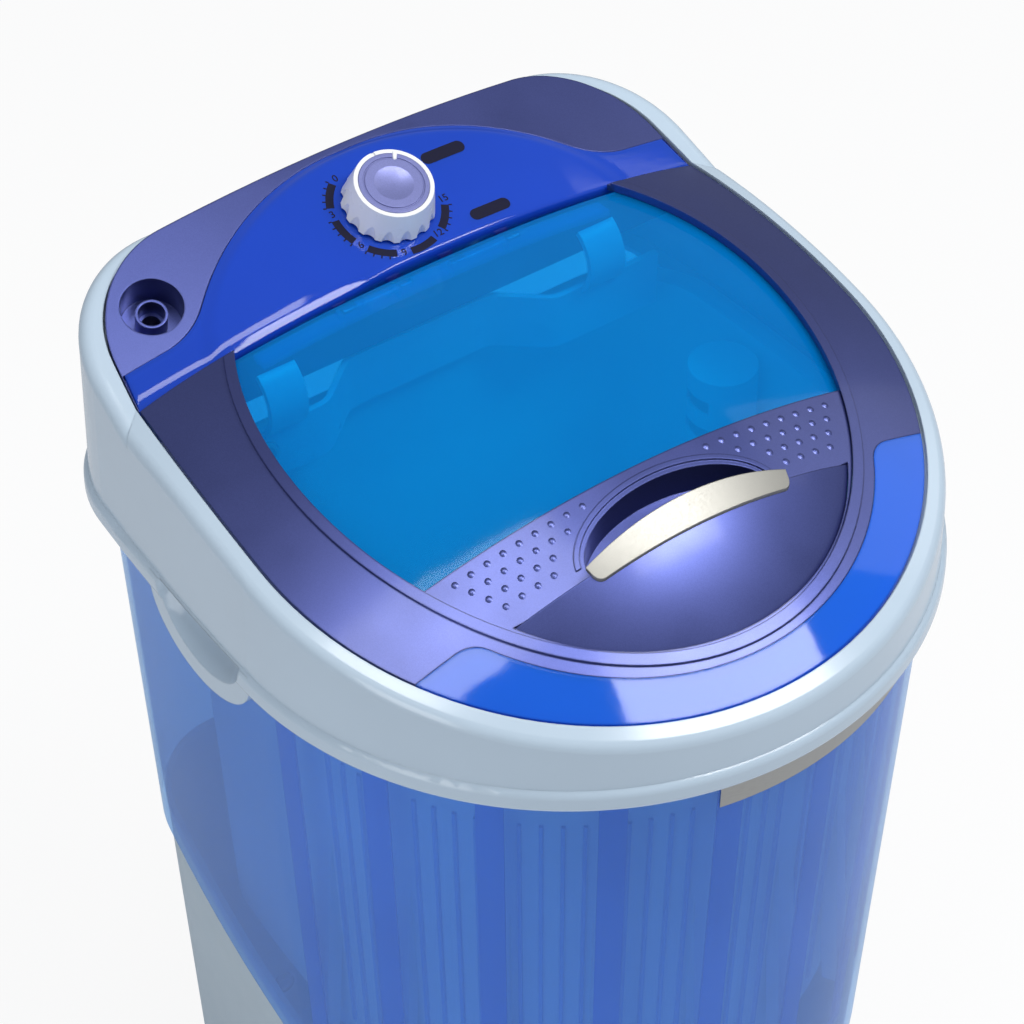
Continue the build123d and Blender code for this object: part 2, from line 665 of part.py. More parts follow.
def filler_pipe():
    """The pipe from the inlet to the tub, through the rear bridge."""
    start = INLET_PLANE.from_local_coords((0, 0, -INLET_DEPTH - 12 - SEAT_GAP))
    drop = start - INLET_PLANE.z_dir * FILLER_DROP
    level = TUB_TOP_Z + BRIDGE_HEIGHT / 2
    path = FilletPolyline(
        start,
        drop,
        (FILLER_X, BRIDGE_Y + 36, level),
        (FILLER_X, BRIDGE_Y + BRIDGE_WALL / 2 - 4, level),
        radius=FILLER_BEND,
    )
    ring = Plane(origin=start, z_dir=drop - start) * (Circle(FILLER_RADIUS) - Circle(FILLER_BORE))
    return sweep(ring, path=path)


def knob():
    """The fluted timer knob, hollow below."""
    body = Pos(0, 0, 1 + KNOB_HEIGHT / 2) * Cone(KNOB_RADIUS, KNOB_TOP_RADIUS, KNOB_HEIGHT)
    for flute in range(KNOB_FLUTES):
        turn = Rot(0, 0, (flute + 0.5) * 360 / KNOB_FLUTES)
        place = KNOB_RADIUS + FLUTE_RADIUS - FLUTE_DEPTH
        body -= turn * Pos(place, 0, KNOB_HEIGHT / 2 - 1) * Cylinder(FLUTE_RADIUS, KNOB_HEIGHT)
    body -= Pos(0, 0, 1 + KNOB_HEIGHT - KNOB_CAP_THICKNESS / 2) * Cylinder(KNOB_CAP_RADIUS + SEAT_GAP, KNOB_CAP_THICKNESS)
    body -= Pos(0, 0, 3) * Cylinder(KNOB_RADIUS - KNOB_WALL, 4)
    body -= Cylinder(SPINDLE_RADIUS + RUNNING_GAP, 2 * KNOB_HEIGHT - 6)
    pointer = Pos(0, KNOB_TOP_RADIUS - 1, 1 + KNOB_HEIGHT) * Box(1.6, 6, 1.6)
    return KNOB_PLANE * (body - pointer)


def knob_cap():
    """The dished disc set into the knob's top."""
    cap = Pos(0, 0, 1 + KNOB_HEIGHT - KNOB_CAP_THICKNESS / 2 + SEAT_GAP) * Cylinder(KNOB_CAP_RADIUS, KNOB_CAP_THICKNESS)
    top = 1 + KNOB_HEIGHT + SEAT_GAP
    cap -= Pos(0, 0, top + KNOB_DISH_RADIUS - KNOB_DISH_DEPTH) * Sphere(KNOB_DISH_RADIUS)
    groove = Cylinder(KNOB_CAP_RADIUS - 2.2, 1.0) - Cylinder(KNOB_CAP_RADIUS - 3.0, 1.0)
    return KNOB_PLANE * (cap - Pos(0, 0, top) * groove)


def timer_spindle():
    """The timer's spindle, which turns with the knob."""
    top = KNOB_HEIGHT - 3 - SEAT_GAP
    bottom = -PANEL_WALL - TIMER_PLATE - 8
    return KNOB_PLANE * Pos(0, 0, (top + bottom) / 2) * Cylinder(SPINDLE_RADIUS, top - bottom)


def timer_body():
    """The spring timer that hangs under the control panel."""
    top = -PANEL_WALL - 0.8
    plate = Pos(0, 0, top - TIMER_PLATE / 2) * Box(TIMER_SIZE, TIMER_SIZE * 0.8, TIMER_PLATE)
    case = Pos(0, 0, top - TIMER_PLATE - TIMER_HEIGHT / 2) * Box(TIMER_SIZE, TIMER_SIZE, TIMER_HEIGHT)
    case = fillet(case.edges().filter_by(Axis.Z), 6)
    body = plate + case - Pos(0, 0, top) * Cylinder(SPINDLE_RADIUS + RUNNING_GAP, 24)
    for side in (-1, 1):
        body -= Pos(side * TIMER_SCREW_X, 0, top) * Cylinder(1.6, 10)
    return KNOB_PLANE * body


def timer_screws():
    """Two screws under the knob that hold the timer."""
    screw = Pos(0, 0, 0.9 + SEAT_GAP) * Cylinder(3, 1.6) + Pos(0, 0, -3) * Cylinder(1.5, 7)
    return [KNOB_PLANE * Pos(side * TIMER_SCREW_X, 0, 0) * screw for side in (-1, 1)]


def collar_blank(inset):
    """The collar's solid form: a drafted block under a dome in front and under a slope behind."""
    top = LID_CROWN_Z + 60
    lean = tan(radians(COLLAR_DRAFT)) * (top - BAND_TOP_Z)
    block = tapered(collar_plan, BAND_TOP_Z, top, COLLAR_OFFSET - inset, COLLAR_OFFSET - inset - lean)
    ball = Pos(0, CROWN_Y, LID_CROWN_Z - DOME_RADIUS) * Sphere(DOME_RADIUS + COLLAR_PROUD - inset)
    front = block & ball
    back = block & half_space(LEDGE_END_Y - 40, BACK_Y + 60) & below_slope(COLLAR_DECK_PROUD - inset)
    return front, back


def collar_rear():
    """The part of the collar that follows the slope, cut off along the crease where slope and dome meet."""
    far = 220
    drop = CREASE_SLOPE * (far - CREASE_X)
    corners = [(-far, CREASE_Y - drop), (-CREASE_X, CREASE_Y), (CREASE_X, CREASE_Y), (far, CREASE_Y - drop)]
    field = make_face(Polyline(*corners, (far, 2 * far), (-far, 2 * far), close=True))
    return prism(field, BAND_TOP_Z - 5, LID_CROWN_Z + 70)


def collar():
    """The white collar: a rounded wall, a band below it, an inner lip, the seats and the two side grips."""
    front, back = collar_blank(0)
    ball_face = front.faces().filter_by(GeomType.SPHERE)[0]
    front = fillet(ball_face.edges(), COLLAR_EDGE_RADIUS)
    slope_face = [face for face in back.faces() if abs(face.normal_at().dot(SLOPE_PLANE.z_dir)) > 0.999][0]
    back = fillet(slope_face.edges().sort_by(Axis.Y)[1:], COLLAR_EDGE_RADIUS)
    front -= collar_rear()
    back &= collar_rear()
    hollow_front, hollow_back = collar_blank(COLLAR_WALL)
    lip_zone = prism(plan(LIP_OFFSET + LIP_WALL), BAND_TOP_Z - 10, LID_CROWN_Z + 80)
    body = (front + back) - (hollow_front - lip_zone) - (hollow_back - lip_zone)
    body += collar_band()
    lip = prism(plan(LIP_OFFSET + LIP_WALL) - plan(LIP_OFFSET), LIP_BOTTOM_Z, BAND_TOP_Z)
    body += lip
    body -= prism(plan(LIP_OFFSET), BAND_TOP_Z - 10, LID_CROWN_Z + 80)
    body += prism(plan(LIP_OFFSET + LIP_WALL) - plan(LIP_OFFSET + LIP_WALL - SHELF_REACH), BAND_TOP_Z, BAND_TOP_Z + LIP_WALL)
    body += collar_seats()
    for side in (-1, 1):
        body = add_side_grip(body, side)
    for x, y in tub_screw_places():
        body -= Pos(x, y, BAND_TOP_Z) * Cylinder(2.0, 20)
    return body


def collar_band():
    """The band round the collar's foot, with a bottom flange against the shell."""
    ring = prism(collar_plan(BAND_OFFSET), COLLAR_BOTTOM_Z, BAND_TOP_Z + 1)
    outer = ring.edges().filter_by(Plane.XY)
    ring = fillet(outer, BAND_EDGE_RADIUS)
    ring -= prism(collar_plan(COLLAR_OFFSET - COLLAR_WALL), COLLAR_BOTTOM_Z - 5, BAND_TOP_Z + 5)
    flange = collar_plan(COLLAR_OFFSET) - plan(SHELL_OFFSET + 1.0)
    return ring + prism(flange, COLLAR_BOTTOM_Z, COLLAR_BOTTOM_Z + COLLAR_WALL)


def collar_seats():
    """The ledge under the lid's edge and the ledge under the deck's edge."""
    ring = plan(LIP_OFFSET + 0.5) - plan(LIP_OFFSET - LEDGE_REACH)
    lid_seat = lid_plate(ring & ahead(LEDGE_END_Y), LID_WALL + MOVING_GAP, LEDGE_WALL)
    deck_seat = prism(ring & behind(PANEL_FRONT_Y + 8), DECK_SIDE_Z - 40, LID_CROWN_Z + 60)
    deck_seat &= below_slope(-DECK_RIM_DEPTH - SEAT_GAP) - below_slope(-DECK_RIM_DEPTH - SEAT_GAP - LEDGE_WALL)
    deck_seat -= INLET_PLANE * Cylinder(INLET_RADIUS + MOVING_GAP, 6 * INLET_DEPTH)
    return lid_seat + deck_seat


def pocket_solid(grow, side):
    """The egg-shaped body of a side grip's pocket."""
    radius = POCKET_RADIUS + grow
    half = POCKET_HALF_LENGTH + grow
    centre_x = FRONT_RADIUS + BAND_OFFSET + POCKET_OUTSET
    profile = Ellipse(half, radius) & Pos(0, radius) * Rectangle(4 * half, 2 * radius)
    egg = revolve(profile, Axis.X, 360)
    return Pos(side * centre_x, GRIP_Y, BAND_TOP_Z) * Rot(0, 0, 90) * egg


def add_side_grip(body, side):
    """The collar with one side grip: an ear that hangs below the band and a pocket scooped into it."""
    middle = COLLAR_BOTTOM_Z + BAND_HEIGHT / 2
    oval = Plane.YZ * Pos(GRIP_Y, middle) * Ellipse(EAR_HALF_LENGTH, BAND_HEIGHT / 2 + EAR_DROP)
    ear = extrude(oval, amount=side * 300)
    zone = prism(collar_plan(BAND_OFFSET - 1.0), COLLAR_BOTTOM_Z - EAR_DROP - 5, BAND_TOP_Z)
    wall = zone - prism(collar_plan(COLLAR_OFFSET - COLLAR_WALL), COLLAR_BOTTOM_Z - EAR_DROP - 9, BAND_TOP_Z + 9)
    below_roof = Pos(0, 0, BAND_TOP_Z - 100 + POCKET_WALL) * Box(500, 500, 200)
    inside = prism(collar_plan(BAND_OFFSET - 1.0), COLLAR_BOTTOM_Z - 60, BAND_TOP_Z)
    inside += prism(collar_plan(COLLAR_OFFSET - 1.0), BAND_TOP_Z - 1, BAND_TOP_Z + POCKET_WALL)
    bowl = pocket_solid(POCKET_WALL, side) & inside & below_roof
    cavity = pocket_solid(0, side) & Pos(0, 0, BAND_TOP_Z - 100) * Box(500, 500, 200)
    return body + (ear & wall) + bowl - cavity


def shell_offset(z):
    """Offset of the shell's outer face from the plan at a height."""
    return SHELL_OFFSET - tan(radians(SHELL_TAPER)) * (SHELL_TOP_Z - z)


def shell_blank(low, high, inset):
    """A tapered block that follows the shell's outer face, inset from it."""
    return tapered(plan, low, high, shell_offset(low) - inset, shell_offset(high) - inset)


def below_parting(rise):
    """Everything below the sloping line where the shell meets the base, which is moved up by rise."""
    seam = Plane(
        origin=(0, PARTING_FRONT_Y, PARTING_FRONT_Z + rise),
        x_dir=(1, 0, 0),
        z_dir=(0, -sin(radians(PARTING_SLOPE)), cos(radians(PARTING_SLOPE))),
    )
    return seam * Pos(0, 200, -200) * Box(600, 700, 400)


def outer_shell():
    """The translucent tapered shell, notched for the side grips."""
    low = PARTING_FRONT_Z - 30
    wall = shell_blank(low, SHELL_TOP_Z, 0) - shell_blank(low, SHELL_TOP_Z, SHELL_WALL)
    wall -= below_parting(0)
    for side in (-1, 1):
        wall -= pocket_solid(POCKET_WALL + MOVING_GAP, side)
    return wall


def base_housing():
    """The white base with its tongue inside the shell, cooling slots and the holes at the back."""
    inset = SHELL_WALL + MOVING_GAP
    high = PARTING_FRONT_Z + 150
    body = shell_blank(BASE_BOTTOM_Z, high, inset) - shell_blank(BASE_BOTTOM_Z, high, inset + BASE_WALL)
    body &= below_parting(BASE_TONGUE)
    inner = shell_offset(BASE_BOTTOM_Z) - inset - BASE_WALL
    body += prism(plan(inner + 1) - plan(inner - BASE_FLANGE_REACH), BASE_BOTTOM_Z, BASE_BOTTOM_Z + BASE_FLANGE)
    for slot in range(VENT_COUNT):
        x = (slot - (VENT_COUNT - 1) / 2) * VENT_PITCH
        body -= Pos(x, BACK_Y, OUTLET_Z + 40) * Box(VENT_WIDTH, 80, VENT_HEIGHT)
    body -= Pos(DRAIN_X, BACK_Y, OUTLET_Z) * Rot(90, 0, 0) * Cylinder(DRAIN_RADIUS + SEAT_GAP, 80)
    body -= Pos(GLAND_X, BACK_Y, GLAND_Z) * Rot(90, 0, 0) * Cylinder(GLAND_RADIUS + SEAT_GAP, 80)
    for x, y in base_screw_places():
        body -= Pos(x, y, BASE_BOTTOM_Z) * Cylinder(2.0, 8)
    return body


def base_back_y(z):
    """Y of the base's outer back wall at a height."""
    return BACK_Y + shell_offset(z) - SHELL_WALL - MOVING_GAP


def base_screw_places():
    """Where screws hold the base plate to the base's flange."""
    reach = FRONT_RADIUS + shell_offset(BASE_BOTTOM_Z) - SHELL_WALL - BASE_WALL - MOVING_GAP - 5
    places = [(reach * sin(angle), FRONT_CENTRE_Y - reach * cos(angle)) for angle in (-pi / 4, pi / 4)]
    back = base_back_y(BASE_BOTTOM_Z) - BASE_WALL - 5
    return places + [(-reach + 3, 60.0), (reach - 3, 60.0), (-40.0, back), (40.0, back)]


def base_plate():
    """The plate that closes the base and carries the motor."""
    outline = plan(shell_offset(BASE_BOTTOM_Z) - SHELL_WALL - BASE_WALL - 2 * MOVING_GAP)
    low = BASE_BOTTOM_Z + BASE_FLANGE + SEAT_GAP
    plate = prism(outline, low, low + BASE_PLATE_WALL)
    for x, y in base_screw_places():
        plate -= Pos(x, y, low) * Cylinder(1.9, 12)
    return plate


PLATE_TOP_Z = BASE_BOTTOM_Z + BASE_FLANGE + SEAT_GAP + BASE_PLATE_WALL


def base_screws():
    """Screws from below through the base's flange."""
    head = Pos(0, 0, BASE_BOTTOM_Z - SEAT_GAP - 1) * Cylinder(3.6, 2)
    shank = Pos(0, 0, BASE_BOTTOM_Z + 2) * Cylinder(1.7, 5)
    return [Pos(x, y, 0) * (head + shank) for x, y in base_screw_places()]


def feet():
    """Four round rubber feet under the base plate."""
    top = PLATE_TOP_Z - BASE_PLATE_WALL - SEAT_GAP
    foot = Pos(0, 0, top / 2) * Cone(FOOT_RADIUS - 2, FOOT_RADIUS, top)
    return [Pos(x, y, 0) * foot for x, y in FOOT_PLACES]


def tub_offset(z):
    """Offset of the tub's outer wall from the tub's plan at a height."""
    return TUB_OFFSET - tan(radians(SHELL_TAPER)) * (TUB_TOP_Z - z)


def tub_screw_places():
    """Where screws hold the tub's rim to the collar's shelf."""
    reach = FRONT_RADIUS + TUB_OFFSET + TUB_RIM_REACH - 3.0
    turns = (-60, -20, 20, 60)
    return [(reach * sin(radians(turn)), FRONT_CENTRE_Y - reach * cos(radians(turn))) for turn in turns]


def tub_rib(turn):
    """One upright rib on the tub's round front, at an angle from the front."""
    low = TUB_FLOOR_Z + 12
    high = COLLAR_BOTTOM_Z - EAR_DROP - 2
    reach = FRONT_RADIUS + tub_offset((low + high) / 2) - 1
    rib = Box(TUB_RIB_WIDTH, 2 * TUB_RIB_HEIGHT, high - low)
    lean = Rot(-SHELL_TAPER, 0, 0)
    return Pos(0, FRONT_CENTRE_Y, 0) * Rot(0, 0, turn) * Pos(0, -reach, (low + high) / 2) * lean * rib


def inner_tub():
    """The wash tub: tapered wall, flanged rim, floor with a round well, ribs outside."""
    inner = TUB_OFFSET - TUB_WALL
    low_outer = tub_offset(TUB_FLOOR_Z)
    wall = tapered(tub_plan, TUB_FLOOR_Z, TUB_TOP_Z, low_outer, TUB_OFFSET)
    wall += prism(tub_plan(TUB_OFFSET + TUB_RIM_REACH), TUB_RIM_Z, TUB_TOP_Z)
    for rib in range(TUB_RIB_COUNT):
        turn = (rib - (TUB_RIB_COUNT - 1) / 2) * 190 / TUB_RIB_COUNT
        wall += tub_rib(turn)
    cavity_low = TUB_FLOOR_Z + TUB_WALL
    lean = tan(radians(SHELL_TAPER)) * (TUB_TOP_Z + 1 - cavity_low)
    wall -= tapered(tub_plan, cavity_low, TUB_TOP_Z + 1, inner - lean, inner)
    well = Pos(0, DRIVE_Y, (WELL_Z + TUB_FLOOR_Z) / 2)
    wall += well * Cylinder(WELL_RADIUS + TUB_WALL, WELL_DEPTH + 0.2)
    wall -= Pos(0, DRIVE_Y, WELL_Z + TUB_WALL + 50) * Cylinder(WELL_RADIUS, 100)
    wall -= Pos(0, DRIVE_Y, WELL_Z) * Cylinder(SHAFT_RADIUS + 4, 20)
    wall -= Pos(DRAIN_X, DRAIN_Y, WELL_Z) * Cylinder(DRAIN_BORE, 20)
    for x, y in tub_screw_places():
        wall -= Pos(x, y, TUB_RIM_Z) * Cylinder(1.9, 12)
    return wall


def tub_screws():
    """Screws through the tub's rim into the collar's shelf."""
    head = Pos(0, 0, TUB_TOP_Z + SEAT_GAP + 1) * Cylinder(3.4, 2)
    shank = Pos(0, 0, TUB_TOP_Z - 3) * Cylinder(1.7, 7)
    return [Pos(x, y, 0) * (head + shank) for x, y in tub_screw_places()]


def bridge_line():
    """The middle line of the rear bridge seen from above."""
    flat = BRIDGE_HALF_LENGTH
    near = 64.0
    far = 40.0
    back = BRIDGE_Y + BRIDGE_BULGE
    points = [(-flat, BRIDGE_Y), (-near, BRIDGE_Y), (-far, back), (far, back), (near, BRIDGE_Y), (flat, BRIDGE_Y)]
    return FilletPolyline(*points, radius=14)


def rear_bridge():
    """The wavy upstand behind the tub's mouth, with two curled tabs."""
    low = TUB_TOP_Z + SEAT_GAP
    bar = prism(trace(bridge_line(), BRIDGE_WALL), low, low + BRIDGE_HEIGHT)
    top = low + BRIDGE_HEIGHT
    curl = ThreePointArc((BRIDGE_Y, top - 3), (BRIDGE_Y - 7, top + TAB_HEIGHT / 2), (BRIDGE_Y + 3, top + TAB_HEIGHT))
    tab = extrude(Plane.YZ * trace(curl, BRIDGE_WALL), amount=TAB_WIDTH / 2, both=True)
    for side in (-1, 1):
        bar += Pos(side * TAB_X, 0, 0) * tab
    hole = Pos(FILLER_X, BRIDGE_Y, low + BRIDGE_HEIGHT / 2) * Rot(90, 0, 0)
    return bar - hole * Cylinder(FILLER_RADIUS + MOVING_GAP, 30)


def filter_housing():
    """The upright lint filter column on the tub's right wall."""
    middle = FILTER_TOP_Z - FILTER_HEIGHT / 2
    column = Pos(FILTER_X, FILTER_Y, middle) * Cylinder(FILTER_RADIUS, FILTER_HEIGHT)
    column -= Pos(FILTER_X, FILTER_Y, middle) * Cylinder(FILTER_RADIUS - 2, FILTER_HEIGHT - 4)
    for row in range(6):
        z = FILTER_TOP_Z - 16 - row * 17
        column -= Pos(FILTER_X - FILTER_RADIUS, FILTER_Y, z) * Box(FILTER_RADIUS, FILTER_RADIUS, 8)
    lean = tan(radians(SHELL_TAPER))
    low = FILTER_TOP_Z - FILTER_HEIGHT
    inside = tapered(
        tub_plan,
        low - 1,
        TUB_TOP_Z,
        TUB_OFFSET - TUB_WALL - SEAT_GAP - lean * (TUB_TOP_Z - low + 1),
        TUB_OFFSET - TUB_WALL - SEAT_GAP,
    )
    return column & inside


def drive(z, height, radius):
    """A cylinder on the drive axis that starts at z."""
    return Pos(0, DRIVE_Y, z + height / 2) * Cylinder(radius, height)


PULSATOR_Z = WELL_Z + TUB_WALL + 2.0


def pulsator():
    """The water impeller: a dished disc, a hub and curved vanes."""
    disc_part = drive(PULSATOR_Z, PULSATOR_WALL, PULSATOR_RADIUS)
    hub = Pos(0, DRIVE_Y, PULSATOR_Z + PULSATOR_WALL + 7) * Cone(26, 14, 14)
    body = disc_part + hub
    curve = ThreePointArc((12, 0), (45, 9), (PULSATOR_RADIUS - 3, 0))
    vane = extrude(trace(curve, 5.0), amount=PULSATOR_WALL + VANE_HEIGHT - 1)
    for index in range(PULSATOR_VANES):
        body += Pos(0, DRIVE_Y, PULSATOR_Z + 1) * Rot(0, 0, index * 360 / PULSATOR_VANES) * vane
    body -= drive(PULSATOR_Z - 1, PULSATOR_WALL + 10, SHAFT_RADIUS + 0.02)
    top = PULSATOR_Z + PULSATOR_WALL + 14
    body -= drive(top - 3.0, 4, 6.5)
    body -= drive(PULSATOR_Z, 30, 2.6)
    return body


def pulsator_screw():
    """The screw that holds the pulsator on its shaft."""
    top = PULSATOR_Z + PULSATOR_WALL + 14
    return drive(top - 3.0 + SEAT_GAP, 2.6, 6.0) + drive(top - 12, 10, 2.5)


def pulsator_shaft():
    """The shaft from the large pulley to the pulsator, with a tapped end."""
    low = PULLEY_Z - PULLEY_WIDTH / 2 - 6
    high = PULSATOR_Z + PULSATOR_WALL + 9 - SEAT_GAP
    top = PULSATOR_Z + PULSATOR_WALL + 14
    return drive(low, high - low, SHAFT_RADIUS) - drive(top - 12.2, 20, 2.52)


HOUSING_TOP_Z = WELL_Z - 0.1 - SEAT_GAP


def bearing_housing():
    """The flanged housing under the tub that holds the bearings and the seal."""
    body = drive(HOUSING_TOP_Z - HOUSING_FLANGE, HOUSING_FLANGE, HOUSING_FLANGE_RADIUS)
    body += drive(HOUSING_TOP_Z - HOUSING_LENGTH, HOUSING_LENGTH, BEARING_RADIUS + HOUSING_WALL)
    for index in range(6):
        web = Pos(0, DRIVE_Y, HOUSING_TOP_Z - HOUSING_FLANGE) * Rot(0, 0, index * 60 + 30)
        body += web * Pos(27, 0, -6) * Box(24, 3, 13)
    return body - drive(HOUSING_TOP_Z - HOUSING_LENGTH - 1, HOUSING_LENGTH + 2, BEARING_RADIUS)


def bearings():
    """Two ball bearings in the housing."""
    low = HOUSING_TOP_Z - HOUSING_LENGTH + 1
    high = HOUSING_TOP_Z - BEARING_HEIGHT - 8
    ring = []
    for z in (low, high):
        outer = drive(z, BEARING_HEIGHT, BEARING_RADIUS - 0.02)
        ring.append(outer - drive(z - 1, BEARING_HEIGHT + 2, SHAFT_RADIUS + RUNNING_GAP))
    return ring


def shaft_seal():
    """The rubber lip seal above the upper bearing."""
    body = drive(HOUSING_TOP_Z - 7.5, 7, BEARING_RADIUS - 0.02)
    return body - drive(HOUSING_TOP_Z - 9, 12, SHAFT_RADIUS + RUNNING_GAP)


def pulley(y, radius):
    """A grooved pulley with spokes cut out when it is large."""
    groove = radius - BELT_HEIGHT - BELT_SUNK - MOVING_GAP
    body = Pos(0, y, PULLEY_Z) * Cylinder(radius, PULLEY_WIDTH)
    ring = Cylinder(radius + 5, BELT_WIDTH + 2 * MOVING_GAP) - Cylinder(groove, BELT_WIDTH + 2)
    body -= Pos(0, y, PULLEY_Z) * ring
    if radius > 3 * MOTOR_PULLEY_RADIUS - 10:
        middle = (groove + 14) / 2
        for index in range(6):
            place = Pos(0, y, PULLEY_Z) * Rot(0, 0, index * 60)
            body -= place * Pos(middle, 0, 0) * Cylinder((groove - 14) / 2 - 4, PULLEY_WIDTH + 2)
    return body - Pos(0, y, PULLEY_Z) * Cylinder(SHAFT_RADIUS + 0.02, PULLEY_WIDTH + 2)


def belt_loop(inset):
    """The belt's line round both pulleys, inset from the pulleys' rims."""
    big = Pos(0, DRIVE_Y) * Circle(PULLEY_RADIUS - inset)
    small = Pos(0, MOTOR_Y) * Circle(MOTOR_PULLEY_RADIUS - inset)
    return make_hull(big.edges() + small.edges())


def drive_belt():
    """The rubber belt that couples the motor to the pulsator."""
    loop = belt_loop(BELT_SUNK) - belt_loop(BELT_SUNK + BELT_HEIGHT)
    return prism(loop, PULLEY_Z - BELT_WIDTH / 2, PULLEY_Z + BELT_WIDTH / 2)


BUSH_Z = PLATE_TOP_Z + SEAT_GAP
BRACKET_Z = BUSH_Z + BUSH_HEIGHT + SEAT_GAP
MOTOR_Z = BRACKET_Z + BRACKET_WALL + SEAT_GAP
PULLEY_Z = MOTOR_Z + MOTOR_HEIGHT + 5.0 + PULLEY_GAP + PULLEY_WIDTH / 2
BOLT_PLACES = [(x, MOTOR_Y + y) for x in (-BRACKET_HALF + 8, BRACKET_HALF - 8) for y in (-BRACKET_HALF + 8, BRACKET_HALF - 8)]


def motor_bushes():
    """Four rubber bushes between the base plate and the motor's bracket."""
    bush = Pos(0, 0, BUSH_Z + BUSH_HEIGHT / 2) * (Cylinder(BUSH_RADIUS, BUSH_HEIGHT) - Cylinder(2.6, BUSH_HEIGHT + 2))
    return [Pos(x, y, 0) * bush for x, y in BOLT_PLACES]


def motor_bolts():
    """Bolts through the bracket and the bushes."""
    low = BUSH_Z + 0.3
    high = BRACKET_Z + BRACKET_WALL + SEAT_GAP
    bolt = Pos(0, 0, (low + high) / 2) * Cylinder(2.4, high - low) + Pos(0, 0, high + 2) * Cylinder(4.5, 4)
    return [Pos(x, y, 0) * bolt for x, y in BOLT_PLACES]


def motor_bracket():
    """The steel plate under the motor."""
    plate = Pos(0, MOTOR_Y, BRACKET_Z + BRACKET_WALL / 2) * Box(2 * BRACKET_HALF, 2 * BRACKET_HALF, BRACKET_WALL)
    plate = fillet(plate.edges().filter_by(Axis.Z), 8)
    for x, y in BOLT_PLACES:
        plate -= Pos(x, y, BRACKET_Z) * Cylinder(2.6, 12)
    return plate - Pos(0, MOTOR_Y, BRACKET_Z) * Cylinder(20, 20)


def motor_housing():
    """The motor's can with its end covers and the boss for the shaft."""
    radius = MOTOR_RADIUS - 6
    can = Pos(0, MOTOR_Y, MOTOR_Z + MOTOR_HEIGHT / 2) * Cylinder(radius, MOTOR_HEIGHT)
    can = fillet(can.edges(), 8)
    can += Pos(0, MOTOR_Y, MOTOR_Z + MOTOR_HEIGHT / 2) * Cylinder(MOTOR_RADIUS, MOTOR_HEIGHT * 0.45)
    can += Pos(0, MOTOR_Y, MOTOR_Z + MOTOR_HEIGHT + 2) * Cylinder(14, 6)
    top = MOTOR_Z + MOTOR_HEIGHT
    for x, y in BOLT_PLACES:
        can -= Pos(x, y, MOTOR_Z) * Cylinder(5.5, 14)
    return can - Pos(0, MOTOR_Y, top) * Cylinder(SHAFT_RADIUS + RUNNING_GAP, 60)


def motor_shaft():
    """The motor's shaft."""
    low = MOTOR_Z + MOTOR_HEIGHT - 29
    high = PULLEY_Z + PULLEY_WIDTH / 2 + 5
    return Pos(0, MOTOR_Y, (low + high) / 2) * Cylinder(SHAFT_RADIUS, high - low)


def capacitor():
    """The motor's run capacitor, which stands on the base plate."""
    x, y = CAPACITOR_PLACE
    can = Pos(x, y, BUSH_Z + CAPACITOR_HEIGHT / 2) * Cylinder(CAPACITOR_RADIUS, CAPACITOR_HEIGHT)
    can = fillet(can.edges(), 2.5)
    for side in (-5, 5):
        can += Pos(x + side, y, BUSH_Z + CAPACITOR_HEIGHT + 3) * Box(1, 6, 8)
    return can


def capacitor_clip():
    """The strap that holds the capacitor to the base plate."""
    x, y = CAPACITOR_PLACE
    ring = Cylinder(CAPACITOR_RADIUS + SEAT_GAP + 1.5, 12) - Cylinder(CAPACITOR_RADIUS + SEAT_GAP, 14)
    foot = Pos(CAPACITOR_RADIUS + 9, 0, -6 - 9) * Box(14, 12, 1.5)
    leg = Pos(CAPACITOR_RADIUS + 2.2, 0, -7.5) * Box(1.5, 12, 16.5)
    return Pos(x, y, BUSH_Z + 0.75 + 15) * (ring + leg + foot)


def drain_valve():
    """The drain valve's body under the tub's well."""
    top = HOUSING_TOP_Z
    body = Pos(DRAIN_X, DRAIN_Y, top - 2) * Cylinder(DRAIN_RADIUS + 5, 4)
    body += Pos(DRAIN_X, DRAIN_Y, top - VALVE_HEIGHT / 2) * Cylinder(DRAIN_RADIUS + 1.5, VALVE_HEIGHT)
    return body - Pos(DRAIN_X, DRAIN_Y, top - VALVE_HEIGHT / 2) * Cylinder(DRAIN_BORE, VALVE_HEIGHT + 2)


def drain_pipe():
    """The pipe from the valve to the outlet at the back."""
    start = (DRAIN_X, DRAIN_Y, HOUSING_TOP_Z - VALVE_HEIGHT - SEAT_GAP)
    end_y = base_back_y(OUTLET_Z) - BASE_WALL - 6 - SEAT_GAP
    path = FilletPolyline(start, (DRAIN_X, DRAIN_Y, OUTLET_Z), (DRAIN_X, end_y, OUTLET_Z), radius=DRAIN_BEND)
    ring = Plane(origin=start, z_dir=(0, 0, -1)) * (Circle(DRAIN_RADIUS) - Circle(DRAIN_BORE))
    return sweep(ring, path=path)


def drain_outlet():
    """The hose spigot at the back of the base."""
    face = base_back_y(OUTLET_Z)
    start = face - BASE_WALL - 6
    end = face + OUTLET_LENGTH
    tube = Pos(DRAIN_X, (start + end) / 2, OUTLET_Z) * Rot(90, 0, 0) * Cylinder(DRAIN_RADIUS, end - start)
    flange = Pos(DRAIN_X, face + 2.6, OUTLET_Z) * Rot(90, 0, 0) * Cylinder(DRAIN_RADIUS + 6, 3)
    return tube + flange - Pos(DRAIN_X, face, OUTLET_Z) * Rot(90, 0, 0) * Cylinder(DRAIN_BORE, 90)


